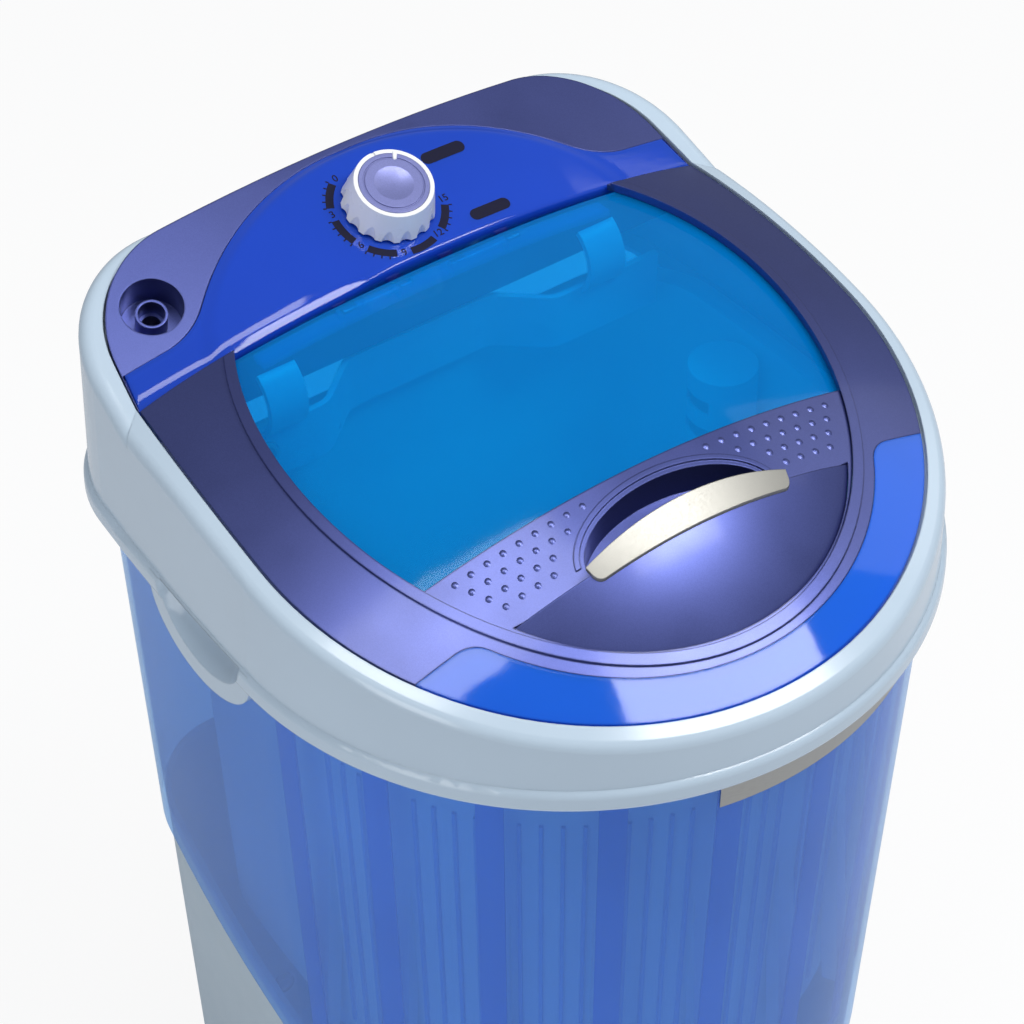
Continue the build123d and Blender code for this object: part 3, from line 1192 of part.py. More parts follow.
def cord_gland():
    """The entry bush for the mains lead."""
    face = base_back_y(GLAND_Z)
    start = face - BASE_WALL - 2
    body = Pos(GLAND_X, (start + face) / 2 + 1, GLAND_Z) * Rot(90, 0, 0) * Cylinder(GLAND_RADIUS, face - start + 2)
    body += Pos(GLAND_X, face + 2.4, GLAND_Z) * Rot(90, 0, 0) * Cylinder(GLAND_RADIUS + 3, 2.6)
    body += Pos(GLAND_X, face + 2.4 + GLAND_LENGTH / 2, GLAND_Z) * Rot(-90, 0, 0) * Cone(GLAND_RADIUS, 4.6, GLAND_LENGTH)
    return body - Pos(GLAND_X, face, GLAND_Z) * Rot(90, 0, 0) * Cylinder(3.6, 90)


NODES = {
    "lid_frame": lid_frame,
    "lid_window": lid_window,
    "lid_hinge_rail": lid_hinge_rail,
    "lid_hinge_pins": lid_hinge_pins,
    "lid_grip_panel": grip_panel,
    "lid_grip_dome": grip_dome,
    "lid_grip_strip": grip_strip,
    "lid_front_accent": front_accent,
    "control_panel": control_panel,
    "rear_deck": rear_deck,
    "water_inlet": water_inlet,
    "filler_pipe": filler_pipe,
    "timer_knob": knob,
    "knob_cap": knob_cap,
    "timer_spindle": timer_spindle,
    "timer_body": timer_body,
    "timer_screws": timer_screws,
    "top_collar": collar,
    "outer_shell": outer_shell,
    "base_housing": base_housing,
    "base_plate": base_plate,
    "base_screws": base_screws,
    "feet": feet,
    "inner_tub": inner_tub,
    "tub_screws": tub_screws,
    "rear_bridge": rear_bridge,
    "filter_housing": filter_housing,
    "pulsator": pulsator,
    "pulsator_screw": pulsator_screw,
    "pulsator_shaft": pulsator_shaft,
    "bearing_housing": bearing_housing,
    "bearings": bearings,
    "shaft_seal": shaft_seal,
    "pulsator_pulley": lambda: pulley(DRIVE_Y, PULLEY_RADIUS),
    "motor_pulley": lambda: pulley(MOTOR_Y, MOTOR_PULLEY_RADIUS),
    "drive_belt": drive_belt,
    "motor_bushes": motor_bushes,
    "motor_bolts": motor_bolts,
    "motor_bracket": motor_bracket,
    "motor_housing": motor_housing,
    "motor_shaft": motor_shaft,
    "capacitor": capacitor,
    "capacitor_clip": capacitor_clip,
    "drain_valve": drain_valve,
    "drain_pipe": drain_pipe,
    "drain_outlet": drain_outlet,
    "cord_gland": cord_gland,
}


for name, make in NODES.items():
    made = make()
    shape = Compound(children=list(made)) if isinstance(made, list) else made
    export_step(shape, f"parts/{name}.step")
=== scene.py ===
"""Dress a small single-tub washing machine and light it as in a plain studio.

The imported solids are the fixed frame. This script gives every one of them a finish and adds the
details that the solids leave out: the studs of the lid's grip band, the printing round the timer
knob, the knob's pointer, the bare plate and the ribs of the shell and the fine flutes of the wash
tub. A smooth cover takes the place of the control panel's solid.
"""

from __future__ import annotations

import json
import logging
import math
from dataclasses import dataclass
from enum import Enum

import bmesh
import bpy
from mathutils import Matrix, Vector
from mathutils.kdtree import KDTree

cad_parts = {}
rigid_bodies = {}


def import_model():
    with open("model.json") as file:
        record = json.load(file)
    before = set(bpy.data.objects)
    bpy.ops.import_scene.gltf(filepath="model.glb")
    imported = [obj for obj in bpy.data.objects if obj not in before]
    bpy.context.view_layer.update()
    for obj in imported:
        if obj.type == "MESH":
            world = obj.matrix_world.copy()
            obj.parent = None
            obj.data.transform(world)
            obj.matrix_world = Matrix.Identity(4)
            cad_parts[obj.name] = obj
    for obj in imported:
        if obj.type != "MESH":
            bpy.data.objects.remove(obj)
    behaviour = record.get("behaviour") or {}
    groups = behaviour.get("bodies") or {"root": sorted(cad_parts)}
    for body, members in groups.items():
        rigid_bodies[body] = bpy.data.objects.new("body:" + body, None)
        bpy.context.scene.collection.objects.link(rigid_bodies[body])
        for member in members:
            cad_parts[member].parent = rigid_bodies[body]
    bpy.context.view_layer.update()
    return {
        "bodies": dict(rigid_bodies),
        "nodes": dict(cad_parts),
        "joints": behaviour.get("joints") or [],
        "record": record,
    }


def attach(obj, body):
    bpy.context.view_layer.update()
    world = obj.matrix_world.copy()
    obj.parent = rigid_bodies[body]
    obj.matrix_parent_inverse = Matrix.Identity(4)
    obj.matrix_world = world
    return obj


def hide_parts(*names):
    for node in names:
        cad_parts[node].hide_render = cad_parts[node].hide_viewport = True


LOG = logging.getLogger("washing_machine")
MM = 0.001
NOISE_LOW = 0.3
NOISE_HIGH = 0.7
Colour = tuple[float, float, float]
Point = tuple[float, float, float]
Socket = bpy.types.NodeSocket


class Body(Enum):
    """The rigid bodies of the machine."""

    CABINET = "cabinet"
    LID = "lid"
    KNOB = "knob"
    PULSATOR = "pulsator_unit"
    MOTOR = "motor_rotor"


class Grain(Enum):
    """How a moulded surface is textured."""

    FLAKE = 0.000004
    POLISHED = 0.00002
    EGGSHELL = 0.00006
    SPARKED = 0.00014


class Sheet:
    """A material's node sheet, with short calls for adding and joining nodes."""

    def __init__(self, name: str) -> None:
        """Open an empty sheet for a new material.

        Args:
            name: The material's name.
        """
        self.material = bpy.data.materials.new(name)
        self.material.use_nodes = True
        self.tree = self.material.node_tree
        self.tree.nodes.clear()
        self.output = self.add("ShaderNodeOutputMaterial")

    def add(self, kind: str, **values: object) -> bpy.types.Node:
        """Add a node and set its properties or its sockets by name.

        Args:
            kind: The node's Blender type.
            **values: Properties of the node, or values of its input sockets, named with
                underscores for spaces.

        Returns:
            The new node.
        """
        node = self.tree.nodes.new(kind)
        for key, value in values.items():
            if hasattr(node, key):
                setattr(node, key, value)
            else:
                node.inputs[key.replace("_", " ")].default_value = value
        return node

    def join(self, source: Socket, target: Socket) -> None:
        """Join two sockets."""
        self.tree.links.new(source, target)

    def noise(
        self, scale: float, detail: float = 3.0, stretch: Point = (1.0, 1.0, 1.0)
    ) -> Socket:
        """Give a noise value in the object's own space.

        Args:
            scale: Cells per metre.
            detail: Octaves of the noise.
            stretch: Scale along each axis, for streaks.

        Returns:
            The socket with the noise value.
        """
        place = self.add("ShaderNodeTexCoord")
        spread = self.add("ShaderNodeMapping")
        spread.inputs["Scale"].default_value = stretch
        cells = self.add("ShaderNodeTexNoise", Scale=scale, Detail=detail)
        self.join(place.outputs["Object"], spread.inputs["Vector"])
        self.join(spread.outputs["Vector"], cells.inputs["Vector"])
        return cells.outputs["Fac"]

    def spread(self, value: Socket, low: float, high: float) -> Socket:
        """Map a noise value to a range.

        Args:
            value: The socket to map.
            low: Result at the noise's low end.
            high: Result at the noise's high end.

        Returns:
            The socket with the mapped value.
        """
        ranged = self.add("ShaderNodeMapRange")
        ranged.inputs["From Min"].default_value = NOISE_LOW
        ranged.inputs["From Max"].default_value = NOISE_HIGH
        ranged.inputs["To Min"].default_value = low
        ranged.inputs["To Max"].default_value = high
        self.join(value, ranged.inputs["Value"])
        return ranged.outputs["Result"]

    def tint(self, value: Socket, dark: Colour, light: Colour) -> Socket:
        """Blend two colours by a value.

        Args:
            value: The noise value that blends them.
            dark: Colour at the noise's low end.
            light: Colour at the noise's high end.

        Returns:
            The socket with the colour.
        """
        ramp = self.add("ShaderNodeValToRGB")
        ramp.color_ramp.elements[0].position = NOISE_LOW
        ramp.color_ramp.elements[0].color = (*dark, 1.0)
        ramp.color_ramp.elements[1].position = NOISE_HIGH
        ramp.color_ramp.elements[1].color = (*light, 1.0)
        self.join(value, ramp.inputs["Fac"])
        return ramp.outputs["Color"]

    def relief(self, height: Socket, depth: float, edge: float) -> Socket:
        """Turn a height into a normal on top of softly rounded edges.

        Args:
            height: The height value, from 0 to 1.
            depth: Height of the relief in metres.
            edge: Radius of the rounded edges in metres.

        Returns:
            The socket with the normal.
        """
        soft = self.add("ShaderNodeBevel", samples=4)
        soft.inputs["Radius"].default_value = edge
        bump = self.add("ShaderNodeBump", Strength=0.6)
        bump.inputs["Distance"].default_value = depth
        self.join(height, bump.inputs["Height"])
        self.join(soft.outputs["Normal"], bump.inputs["Normal"])
        return bump.outputs["Normal"]

    def close(self, shader: Socket) -> bpy.types.Material:
        """Send a shader to the output and give the finished material back."""
        self.join(shader, self.output.inputs["Surface"])
        return self.material


def shade(colour: Colour, factor: float) -> Colour:
    """Scale a colour, kept between 0 and 1."""
    return tuple(min(1.0, max(0.0, part * factor)) for part in colour)


@dataclass(frozen=True)
class Moulding:
    """Opaque moulded plastic or rubber."""

    name: str
    colour: Colour
    roughness: float = 0.35
    coat: float = 0.0
    grain: Grain = Grain.EGGSHELL
    edge: float = 0.8 * MM
    mottle: float = 0.06

    def make(self) -> bpy.types.Material:
        """Build the material and give it back."""
        sheet = Sheet(self.name)
        skin = sheet.add("ShaderNodeBsdfPrincipled")
        skin.inputs["Coat Weight"].default_value = self.coat
        skin.inputs["Coat Roughness"].default_value = 0.12
        dark, light = shade(self.colour, 1 - self.mottle), shade(self.colour, 1 + self.mottle / 2)
        sheet.join(sheet.tint(sheet.noise(9.0, 4.0), dark, light), skin.inputs["Base Color"])
        rough = sheet.spread(sheet.noise(60.0, 5.0), self.roughness * 0.85, self.roughness * 1.15)
        sheet.join(rough, skin.inputs["Roughness"])
        grain = sheet.relief(sheet.noise(1800.0, 2.0), self.grain.value, self.edge)
        sheet.join(grain, skin.inputs["Normal"])
        return sheet.close(skin.outputs["BSDF"])


@dataclass(frozen=True)
class MetallicLacquer:
    """Metallic paint under a clear coat, with fine flakes."""

    name: str
    colour: Colour
    roughness: float = 0.36
    metallic: float = 0.85
    coat: float = 0.35
    edge: float = 0.9 * MM

    def make(self) -> bpy.types.Material:
        """Build the material and give it back."""
        sheet = Sheet(self.name)
        skin = sheet.add("ShaderNodeBsdfPrincipled", Metallic=self.metallic)
        skin.inputs["Coat Weight"].default_value = self.coat
        skin.inputs["Coat Roughness"].default_value = 0.12
        place = sheet.add("ShaderNodeTexCoord")
        flakes = sheet.add("ShaderNodeTexVoronoi", Scale=3600.0)
        sheet.join(place.outputs["Object"], flakes.inputs["Vector"])
        level = sheet.add("ShaderNodeSeparateColor")
        sheet.join(flakes.outputs["Color"], level.inputs["Color"])
        tint = sheet.tint(level.outputs["Red"], shade(self.colour, 0.95), shade(self.colour, 1.06))
        sheet.join(tint, skin.inputs["Base Color"])
        rough = sheet.spread(sheet.noise(25.0, 4.0), self.roughness * 0.88, self.roughness * 1.12)
        sheet.join(rough, skin.inputs["Roughness"])
        grain = sheet.relief(level.outputs["Green"], Grain.FLAKE.value, self.edge)
        sheet.join(grain, skin.inputs["Normal"])
        return sheet.close(skin.outputs["BSDF"])


@dataclass(frozen=True)
class ClearPlastic:
    """Tinted see-through plastic: what is behind shows in the tint, under a glossy skin."""

    name: str
    tint: Colour
    body: Colour
    share: float = 0.35
    roughness: float = 0.05
    edge: float = 1.0 * MM
    rim_share: float = 0.85
    coat: float = 0.4

    def make(self) -> bpy.types.Material:
        """Build the material and give it back."""
        sheet = Sheet(self.name)
        clear = sheet.add("ShaderNodeBsdfTransparent")
        clear.inputs["Color"].default_value = (*self.tint, 1.0)
        skin = sheet.add("ShaderNodeBsdfPrincipled")
        skin.inputs["Coat Weight"].default_value = self.coat
        skin.inputs["Coat Roughness"].default_value = 0.05
        dark, light = shade(self.body, 0.92), shade(self.body, 1.08)
        sheet.join(sheet.tint(sheet.noise(7.0, 3.0), dark, light), skin.inputs["Base Color"])
        rough = sheet.spread(sheet.noise(40.0, 4.0), self.roughness * 0.8, self.roughness * 1.3)
        sheet.join(rough, skin.inputs["Roughness"])
        grain = sheet.relief(sheet.noise(220.0, 2.0), Grain.POLISHED.value, self.edge)
        sheet.join(grain, skin.inputs["Normal"])
        facing = sheet.add("ShaderNodeLayerWeight", Blend=0.35)
        lean = sheet.add("ShaderNodeMapRange")
        lean.inputs["To Min"].default_value = self.share
        lean.inputs["To Max"].default_value = self.rim_share
        sheet.join(facing.outputs["Facing"], lean.inputs["Value"])
        mixed = sheet.add("ShaderNodeMixShader")
        sheet.join(lean.outputs["Result"], mixed.inputs["Fac"])
        sheet.join(clear.outputs["BSDF"], mixed.inputs[1])
        sheet.join(skin.outputs["BSDF"], mixed.inputs[2])
        return sheet.close(mixed.outputs["Shader"])


@dataclass(frozen=True)
class Metal:
    """Bare or plated metal with a brushed or cast surface."""

    name: str
    colour: Colour
    roughness: float = 0.28
    brushed: Point = (1.0, 1.0, 1.0)
    scale: float = 900.0
    edge: float = 0.4 * MM

    def make(self) -> bpy.types.Material:
        """Build the material and give it back."""
        sheet = Sheet(self.name)
        skin = sheet.add("ShaderNodeBsdfPrincipled", Metallic=1.0)
        lines = sheet.noise(self.scale, 3.0, self.brushed)
        tint = sheet.tint(lines, shade(self.colour, 0.9), shade(self.colour, 1.06))
        sheet.join(tint, skin.inputs["Base Color"])
        rough = sheet.spread(lines, self.roughness * 0.8, self.roughness * 1.25)
        sheet.join(rough, skin.inputs["Roughness"])
        sheet.join(sheet.relief(lines, Grain.POLISHED.value, self.edge), skin.inputs["Normal"])
        return sheet.close(skin.outputs["BSDF"])


@dataclass(frozen=True)
class Print:
    """Thin printed ink."""

    name: str
    colour: Colour

    def make(self) -> bpy.types.Material:
        """Build the material and give it back."""
        sheet = Sheet(self.name)
        skin = sheet.add("ShaderNodeBsdfPrincipled")
        cloud = sheet.noise(700.0, 3.0)
        tint = sheet.tint(cloud, shade(self.colour, 0.85), shade(self.colour, 1.15))
        sheet.join(tint, skin.inputs["Base Color"])
        skin.inputs["Specular IOR Level"].default_value = 0.2
        sheet.join(sheet.spread(cloud, 0.6, 0.75), skin.inputs["Roughness"])
        return sheet.close(skin.outputs["BSDF"])


class Finishes:
    """All the finishes of the machine, each made once."""

    def __init__(self) -> None:
        """Make every finish."""
        purple = (0.078, 0.097, 0.295)
        made = (
            Moulding("collar_white", (0.54, 0.66, 0.77), 0.20, 0.5, Grain.POLISHED, 1.2 * MM, 0.03),
            Moulding("base_white", (0.52, 0.62, 0.69), 0.42, 0.0, Grain.EGGSHELL, 1.0 * MM),
            ClearPlastic(
                "shell_blue",
                tint=(0.62, 0.83, 1.0),
                body=(0.13, 0.33, 0.88),
                share=0.24,
                roughness=0.10,
                edge=1.2 * MM,
                rim_share=0.64,
                coat=0.3,
            ),
            ClearPlastic(
                "panel_blue",
                tint=(0.16, 0.34, 0.95),
                body=(0.015, 0.09, 0.68),
                share=0.62,
                roughness=0.05,
                edge=0.6 * MM,
                rim_share=0.88,
                coat=0.5,
            ),
            ClearPlastic(
                "window_blue",
                tint=(0.20, 0.86, 1.0),
                body=(0.0, 0.36, 1.0),
                share=0.26,
                roughness=0.05,
                edge=0.8 * MM,
                rim_share=0.40,
                coat=0.1,
            ),
            ClearPlastic(
                "accent_blue",
                tint=(0.10, 0.40, 1.0),
                body=(0.01, 0.17, 0.86),
                share=0.60,
                roughness=0.05,
                edge=1.6 * MM,
                rim_share=0.88,
                coat=0.5,
            ),
            MetallicLacquer("metallic_purple", purple),
            # A lighter copy of the lid's purple lacquer, worn by the grip dome and the water inlet:
            # painted highlight that brightens the dome's sheen.
            MetallicLacquer("purple_painted_highlight", shade(purple, 1.18), 0.38, 0.9, 0.3),
            Metal("warm_silver", (0.40, 0.39, 0.355), 0.46, (1.0, 8.0, 8.0), 700.0, 0.5 * MM),
            Moulding("knob_white", (0.95, 0.96, 0.98), 0.28, 0.3, Grain.POLISHED, 0.5 * MM, 0.02),
            MetallicLacquer("knob_purple", (0.24, 0.26, 0.56), 0.35, 0.5, 0.3, 0.6 * MM),
            Moulding("tub_white", (0.80, 0.87, 0.93), 0.35, 0.1, Grain.EGGSHELL, 1.2 * MM),
            Moulding("inner_blue", (0.52, 0.84, 1.0), 0.30, 0.2, Grain.EGGSHELL, 1.0 * MM),
            # The ribs' deeper blue than the shell is painted shade that darkens the stripes.
            ClearPlastic(
                "rib_painted_shade",
                tint=(0.42, 0.66, 1.0),
                body=(0.03, 0.24, 0.86),
                share=0.38,
                roughness=0.15,
                edge=0.4 * MM,
                rim_share=0.7,
                coat=0.1,
            ),
            # The flutes' darker blue is painted shade, so they read as dark grooves on the white
            # tub.
            Moulding("flute_painted_shade", (0.22, 0.45, 0.88), 0.35, 0.1, Grain.EGGSHELL, 0.4 * MM),
            Moulding("pipe_white", (0.72, 0.72, 0.70), 0.4),
            Moulding("dark_rubber", (0.02, 0.02, 0.022), 0.7, 0.0, Grain.SPARKED),
            Moulding("grey_rubber", (0.12, 0.125, 0.14), 0.65, 0.0, Grain.SPARKED),
            Metal("steel", (0.60, 0.60, 0.60), 0.30, (1.0, 1.0, 8.0), 900.0),
            Metal("zinc", (0.55, 0.56, 0.55), 0.42, (1.0, 1.0, 1.0), 120.0),
            MetallicLacquer("motor_paint", (0.16, 0.165, 0.18), 0.45, 0.4, 0.1),
            Metal("pulley_alloy", (0.66, 0.67, 0.69), 0.45, (1.0, 1.0, 1.0), 1400.0),
            Moulding("timer_plastic", (0.70, 0.68, 0.60), 0.5),
            Print("print_dark", (0.008, 0.008, 0.03)),
            Metal("plate_grey", (0.36, 0.35, 0.33), 0.34, (1.0, 1.0, 12.0), 300.0, 0.3 * MM),
        )
        self.by_name = {finish.name: finish.make() for finish in made}

    def __getitem__(self, name: str) -> bpy.types.Material:
        """Give a finish by its name."""
        return self.by_name[name]


@dataclass(frozen=True)
class LidSurface:
    """The lid's crowned top surface, which sinks towards the hinge, in millimetres."""

    top: float = 552.8
    radius: float = 480.0
    middle_y: float = 71.0
    dish_start: float = 6.0
    dish_length: float = 92.0
    dish_limit: float = 1.2
    dish_half_width: float = 161.0
    dish_depth: float = 8.3

    def height(self, x: float, y: float) -> float:
        """Give the surface's height at a place.

        Args:
            x: Place across the lid.
            y: Place along the lid.

        Returns:
            The height over the floor.
        """
        fall = math.sqrt(self.radius**2 - x * x - (y - self.middle_y) ** 2)
        run = min(max((y - self.dish_start) / self.dish_length, 0.0), self.dish_limit)
        spread = max(0.0, 1 - (x / self.dish_half_width) ** 2)
        sink = self.dish_depth * run * run * (3 - 2 * run) * spread**2
        return self.top - self.radius + fall - sink


@dataclass(frozen=True)
class Slope:
    """The sloping face of the control panel, which the timer knob stands on, in millimetres."""

    tilt: float = math.radians(20.0)
    front_y: float = 98.0
    front_z: float = 543.7
    knob_run: float = 30.6

    def point(self, x: float, up: float, rise: float) -> Vector:
        """Give a point over the slope.

        Args:
            x: Distance right of the knob's axis.
            up: Distance up the slope from the knob's axis.
            rise: Height over the slope.

        Returns:
            The point in metres, in the row frame.
        """
        run = self.knob_run + up
        y = self.front_y + run * math.cos(self.tilt) - rise * math.sin(self.tilt)
        z = self.front_z + run * math.sin(self.tilt) + rise * math.cos(self.tilt)
        return Vector((x, y, z)) * MM


@dataclass(frozen=True)
class Oval:
    """An oval area on the lid's middle line, in millimetres."""

    half_width: float
    half_length: float
    middle_y: float

    def holds(self, x: float, y: float) -> bool:
        """Tell if a place lies inside."""
        return (x / self.half_width) ** 2 + ((y - self.middle_y) / self.half_length) ** 2 < 1.0


@dataclass
class Piece:
    """A detail that is meshed here and rides on a body."""

    name: str
    body: Body
    slot: str
    material: bpy.types.Material
    smooth: bool = True

    def place(self, mesh: bmesh.types.BMesh) -> bpy.types.Object:
        """Turn a mesh into a riding object.

        Args:
            mesh: The mesh, in metres, in the row frame. It is freed.

        Returns:
            The new object.
        """
        bmesh.ops.recalc_face_normals(mesh, faces=mesh.faces[:])
        data = bpy.data.meshes.new(self.name)
        mesh.to_mesh(data)
        mesh.free()
        data.materials.append(self.material)
        made = bpy.data.objects.new(self.name, data)
        bpy.context.scene.collection.objects.link(made)
        if self.smooth:
            data.shade_smooth()
        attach(made, self.body.value)
        faces = len(data.polygons)
        LOG.info("piece %s rides on %s with %d faces", self.name, self.body.value, faces)
        return made


def ribbon(mesh: bmesh.types.BMesh, first: list, second: list, closed: bool = False) -> None:
    """Skin two rows of vertices with quads.

    Args:
        mesh: The mesh that holds the vertices.
        first: One row of vertices.
        second: The other row, with as many vertices.
        closed: True joins the last vertices to the first ones.
    """
    count = len(first)
    for i in range(count if closed else count - 1):
        j = (i + 1) % count
        mesh.faces.new((first[i], first[j], second[j], second[i]))


@dataclass
class Lid:
    """The studs of the domed lid's grip band. All sizes are in millimetres."""

    finishes: Finishes
    surface: LidSurface = LidSurface()
    stud_radius: float = 1.8
    stud_height: float = 0.45
    stud_sunk: float = 0.25
    stud_sides: int = 10
    stud_rings: tuple[tuple[float, float], ...] = (
        (1.0, 0.25),
        (0.85, 0.4),
        (0.6, 0.75),
        (0.3, 1.0),
    )
    stud_pitch: float = 8.4
    row_pitch: float = 6.6
    row_start: float = -70.5
    rows: int = 5
    columns: int = 14
    disc: Oval = Oval(122.0, 149.0, 6.0)
    recess: Oval = Oval(57.0, 31.0, -98.0)
    dome: Oval = Oval(105.0, 105.0, -36.7)
    dome_rear: float = -94.0
    front: float = -98.0
    front_bow: float = 0.00052
    half_width: float = 112.0

    def studs(self) -> None:
        """Set rows of small round studs on the grip band, on both sides of the recess."""
        mesh = bmesh.new()
        for row in range(self.rows):
            y = self.row_start - row * self.row_pitch
            shift = 0.5 * self.stud_pitch * (row % 2)
            for column in range(-self.columns, self.columns + 1):
                x = column * self.stud_pitch + shift
                if self.on_band(x, y):
                    self.stud(mesh, x, y)
        purple = self.finishes["metallic_purple"]
        Piece("grip_studs", Body.LID, "metallic_purple", purple).place(mesh)

    def on_band(self, x: float, y: float) -> bool:
        """Tell if a stud fits at a place, clear of the disc's edge, the recess and the dome."""
        on_dome = y < self.dome_rear and not self.dome.holds(x, y)
        before = y < self.front + self.front_bow * (x * x)
        clear = not (self.recess.holds(x, y) or on_dome or before)
        return clear and self.disc.holds(x, y) and abs(x) < self.half_width

    def stud(self, mesh: bmesh.types.BMesh, x: float, y: float) -> None:
        """Add one flattened round stud that stands on the lid's surface.

        Args:
            mesh: The mesh to add to.
            x: Place across the lid in millimetres.
            y: Place along the lid in millimetres.
        """
        rows = []
        for reach, share in self.stud_rings:
            row = []
            rise = share * (self.stud_height + self.stud_sunk) - self.stud_sunk
            for step in range(self.stud_sides):
                turn = 2 * math.pi * step / self.stud_sides
                px = x + reach * self.stud_radius * math.cos(turn)
                py = y + reach * self.stud_radius * math.sin(turn)
                pz = self.surface.height(px, py) + rise
                row.append(mesh.verts.new((px * MM, py * MM, pz * MM)))
            rows.append(row)
        for low, high in zip(rows, rows[1:]):
            ribbon(mesh, low, high, closed=True)
        mesh.faces.new(rows[-1])

    def build(self) -> None:
        """Build the lid's details."""
        self.studs()


@dataclass
class ControlPanel:
    """The crowned bell-shaped panel over the timer, with its printing, in millimetres.

    Its rear edge is a flat foot at each side, then a fillet, a straight skirt and the bell's arc.
    A tick is printed only where tick_room past the ring stays tick_margin clear of the front edge.
    """

    finishes: Finishes
    slope: Slope = Slope()
    half_width: float = 153.2
    side_draft: float = 0.19
    foot_y: float = 115.5
    foot_start: float = 128.34
    fillet_start: float = 103.23
    fillet_y: float = 153.5
    fillet_radius: float = 38.0
    skirt_start: float = 99.11
    skirt_lean: float = 0.88
    skirt_foot: float = 114.0
    bell_half_flat: float = 6.62
    bell_y: float = 23.5
    bell_radius: float = 140.0
    hill_length: float = 65.5
    hill_half_width: float = 118.0
    hill_power: float = 1.6
    hill_fade: float = 0.16
    crown_radius: float = 720.0
    foot_z: float = 539.8
    foot_crown_radius: float = 958.0
    edge_width: float = 1.8
    edge_drop: float = 1.1
    roll_width: float = 6.0
    roll_drop: float = 1.5
    roll_start: float = 14.0
    roll_fade: float = 30.0
    across_steps: int = 130
    along_steps: int = 34
    wall: float = 2.4
    flange_depth: float = 9.0
    ring_radius: float = 27.0
    ring_width: float = 3.8
    mark_gap: float = 7.5
    number_size: float = 5.2
    tick_length: float = 1.5
    tick_half: float = 0.7
    tick_room: float = 1.8
    tick_margin: float = 2.6
    marks: tuple[tuple[int, float], ...] = (
        (0, 122.0),
        (3, 166.0),
        (6, 210.0),
        (9, 254.0),
        (12, 298.0),
        (15, 342.0),
    )
    lift: float = 0.05
    number_lift: float = 0.03
    field_lift: float = 0.06

    def rear_edge(self, x: float) -> float:
        """Give the bell's rear edge, along the machine, at a distance from its middle.

        Args:
            x: Distance from the middle in millimetres.

        Returns:
            The place of the edge in millimetres.
        """
        across = abs(x)
        if across > self.foot_start:
            return self.foot_y
        if across > self.fillet_start:
            reach = self.foot_start - across
            return self.fillet_y - math.sqrt(self.fillet_radius**2 - reach**2)
        if across > self.skirt_start:
            return self.foot_y + self.skirt_lean * (self.skirt_foot - across)
        reach = max(across - self.bell_half_flat, 0.0)
        return self.bell_y + math.sqrt(self.bell_radius**2 - reach**2)

    def crown(self, x: float, y: float, front_z: float, radius: float) -> float:
        """Give the height of a crowned slope in millimetres.

        Args:
            x: Distance right of the middle in millimetres.
            y: Place along the machine in millimetres.
            front_z: Height at the front of the slope.
            radius: Radius of the crown.

        Returns:
            The height in millimetres.
        """
        climb = math.tan(self.slope.tilt) * (y - self.slope.front_y)
        return front_z + climb - x * x / (2 * radius * math.cos(self.slope.tilt))

    def height(self, x: float, y: float) -> float:
        """Give the height of the panel's face, a hill that runs out in a flat foot."""
        run = max(y - self.slope.front_y, 0.0) / self.hill_length
        field = (x / self.hill_half_width) ** 2 + run**self.hill_power
        blend = min(max((1.0 - field) / self.hill_fade, 0.0), 1.0)
        blend = blend * blend * (3 - 2 * blend)
        foot = self.crown(x, y, self.foot_z, self.foot_crown_radius)
        hill = self.crown(x, y, self.slope.front_z, self.crown_radius)
        return foot + blend * (hill - foot)

    def steps(self, length: float, count: int) -> list[float]:
        """Divide a length, with close steps at both ends for the rounded edge.

        Args:
            length: The length in millimetres.
            count: Steps of the middle part.

        Returns:
            The places in millimetres, from 0 to the length.
        """
        ends = [self.edge_width * part for part in (0.0, 0.08, 0.25, 0.5, 0.75, 1.0, 1.5)]
        inner = length - 2 * ends[-1]
        middle = [ends[-1] + inner * step / count for step in range(1, count)]
        return ends + middle + [length - end for end in reversed(ends)]

    def cover(self) -> None:
        """Build the panel as one smooth shell with a rounded edge, in place of the solid."""
        grid = []
        for across in self.steps(2 * self.half_width, self.across_steps):
            x = across - self.half_width
            back = self.rear_edge(x)
            share = abs(x / self.half_width) ** 8
            column = []
            for along in self.steps(back - self.slope.front_y, self.along_steps):
                draft = math.copysign(share * self.side_draft * along, x)
                column.append((x - draft, self.slope.front_y + along))
            grid.append(column)
        nearest = self.edge_tree(grid)
        mesh = bmesh.new()
        top, under = [], []
        for column in grid:
            rows = ([], [])
            for x, y in column:
                reach = nearest.find(Vector((x, y, 0.0)))[2]
                short = max(0.0, 1.0 - reach / self.edge_width)
                drop = self.edge_drop * (1.0 - math.sqrt(max(1.0 - short * short, 0.0)))
                drop = max(drop, self.front_roll(x, y))
                z = self.height(x, y)
                depth = self.flange_depth if reach < 1.2 * self.edge_width else self.wall
                rows[0].append(mesh.verts.new((x * MM, y * MM, (z - drop) * MM)))
                rows[1].append(mesh.verts.new((x * MM, y * MM, (z - depth) * MM)))
            top.append(rows[0])
            under.append(rows[1])
        self.skin(mesh, top, under)
        blue = self.finishes["panel_blue"]
        cover = Piece("panel_cover", Body.CABINET, "panel_blue", blue).place(mesh)
        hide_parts("control_panel")

    def edge_tree(self, grid: list[list[tuple[float, float]]]) -> KDTree:
        """Gather the outline of a grid of places, to look up the nearest point of the edge.

        Args:
            grid: Columns of places in millimetres.

        Returns:
            The tree of the outline's points.
        """
        sides = (grid[0], grid[-1], [column[0] for column in grid], [column[-1] for column in grid])
        edge = [Vector((*place, 0.0)) for side in sides for place in side]
        tree = KDTree(len(edge))
        for i, point in enumerate(edge):
            tree.insert(point, i)
        tree.balance()
        return tree

    def front_roll(self, x: float, y: float) -> float:
        """Give how far the left part of the front edge rolls down, in millimetres."""
        share = min(max((-x - self.roll_start) / self.roll_fade, 0.0), 1.0)
        short = max(0.0, 1.0 - (y - self.slope.front_y) / self.roll_width)
        return share * self.roll_drop * short * short

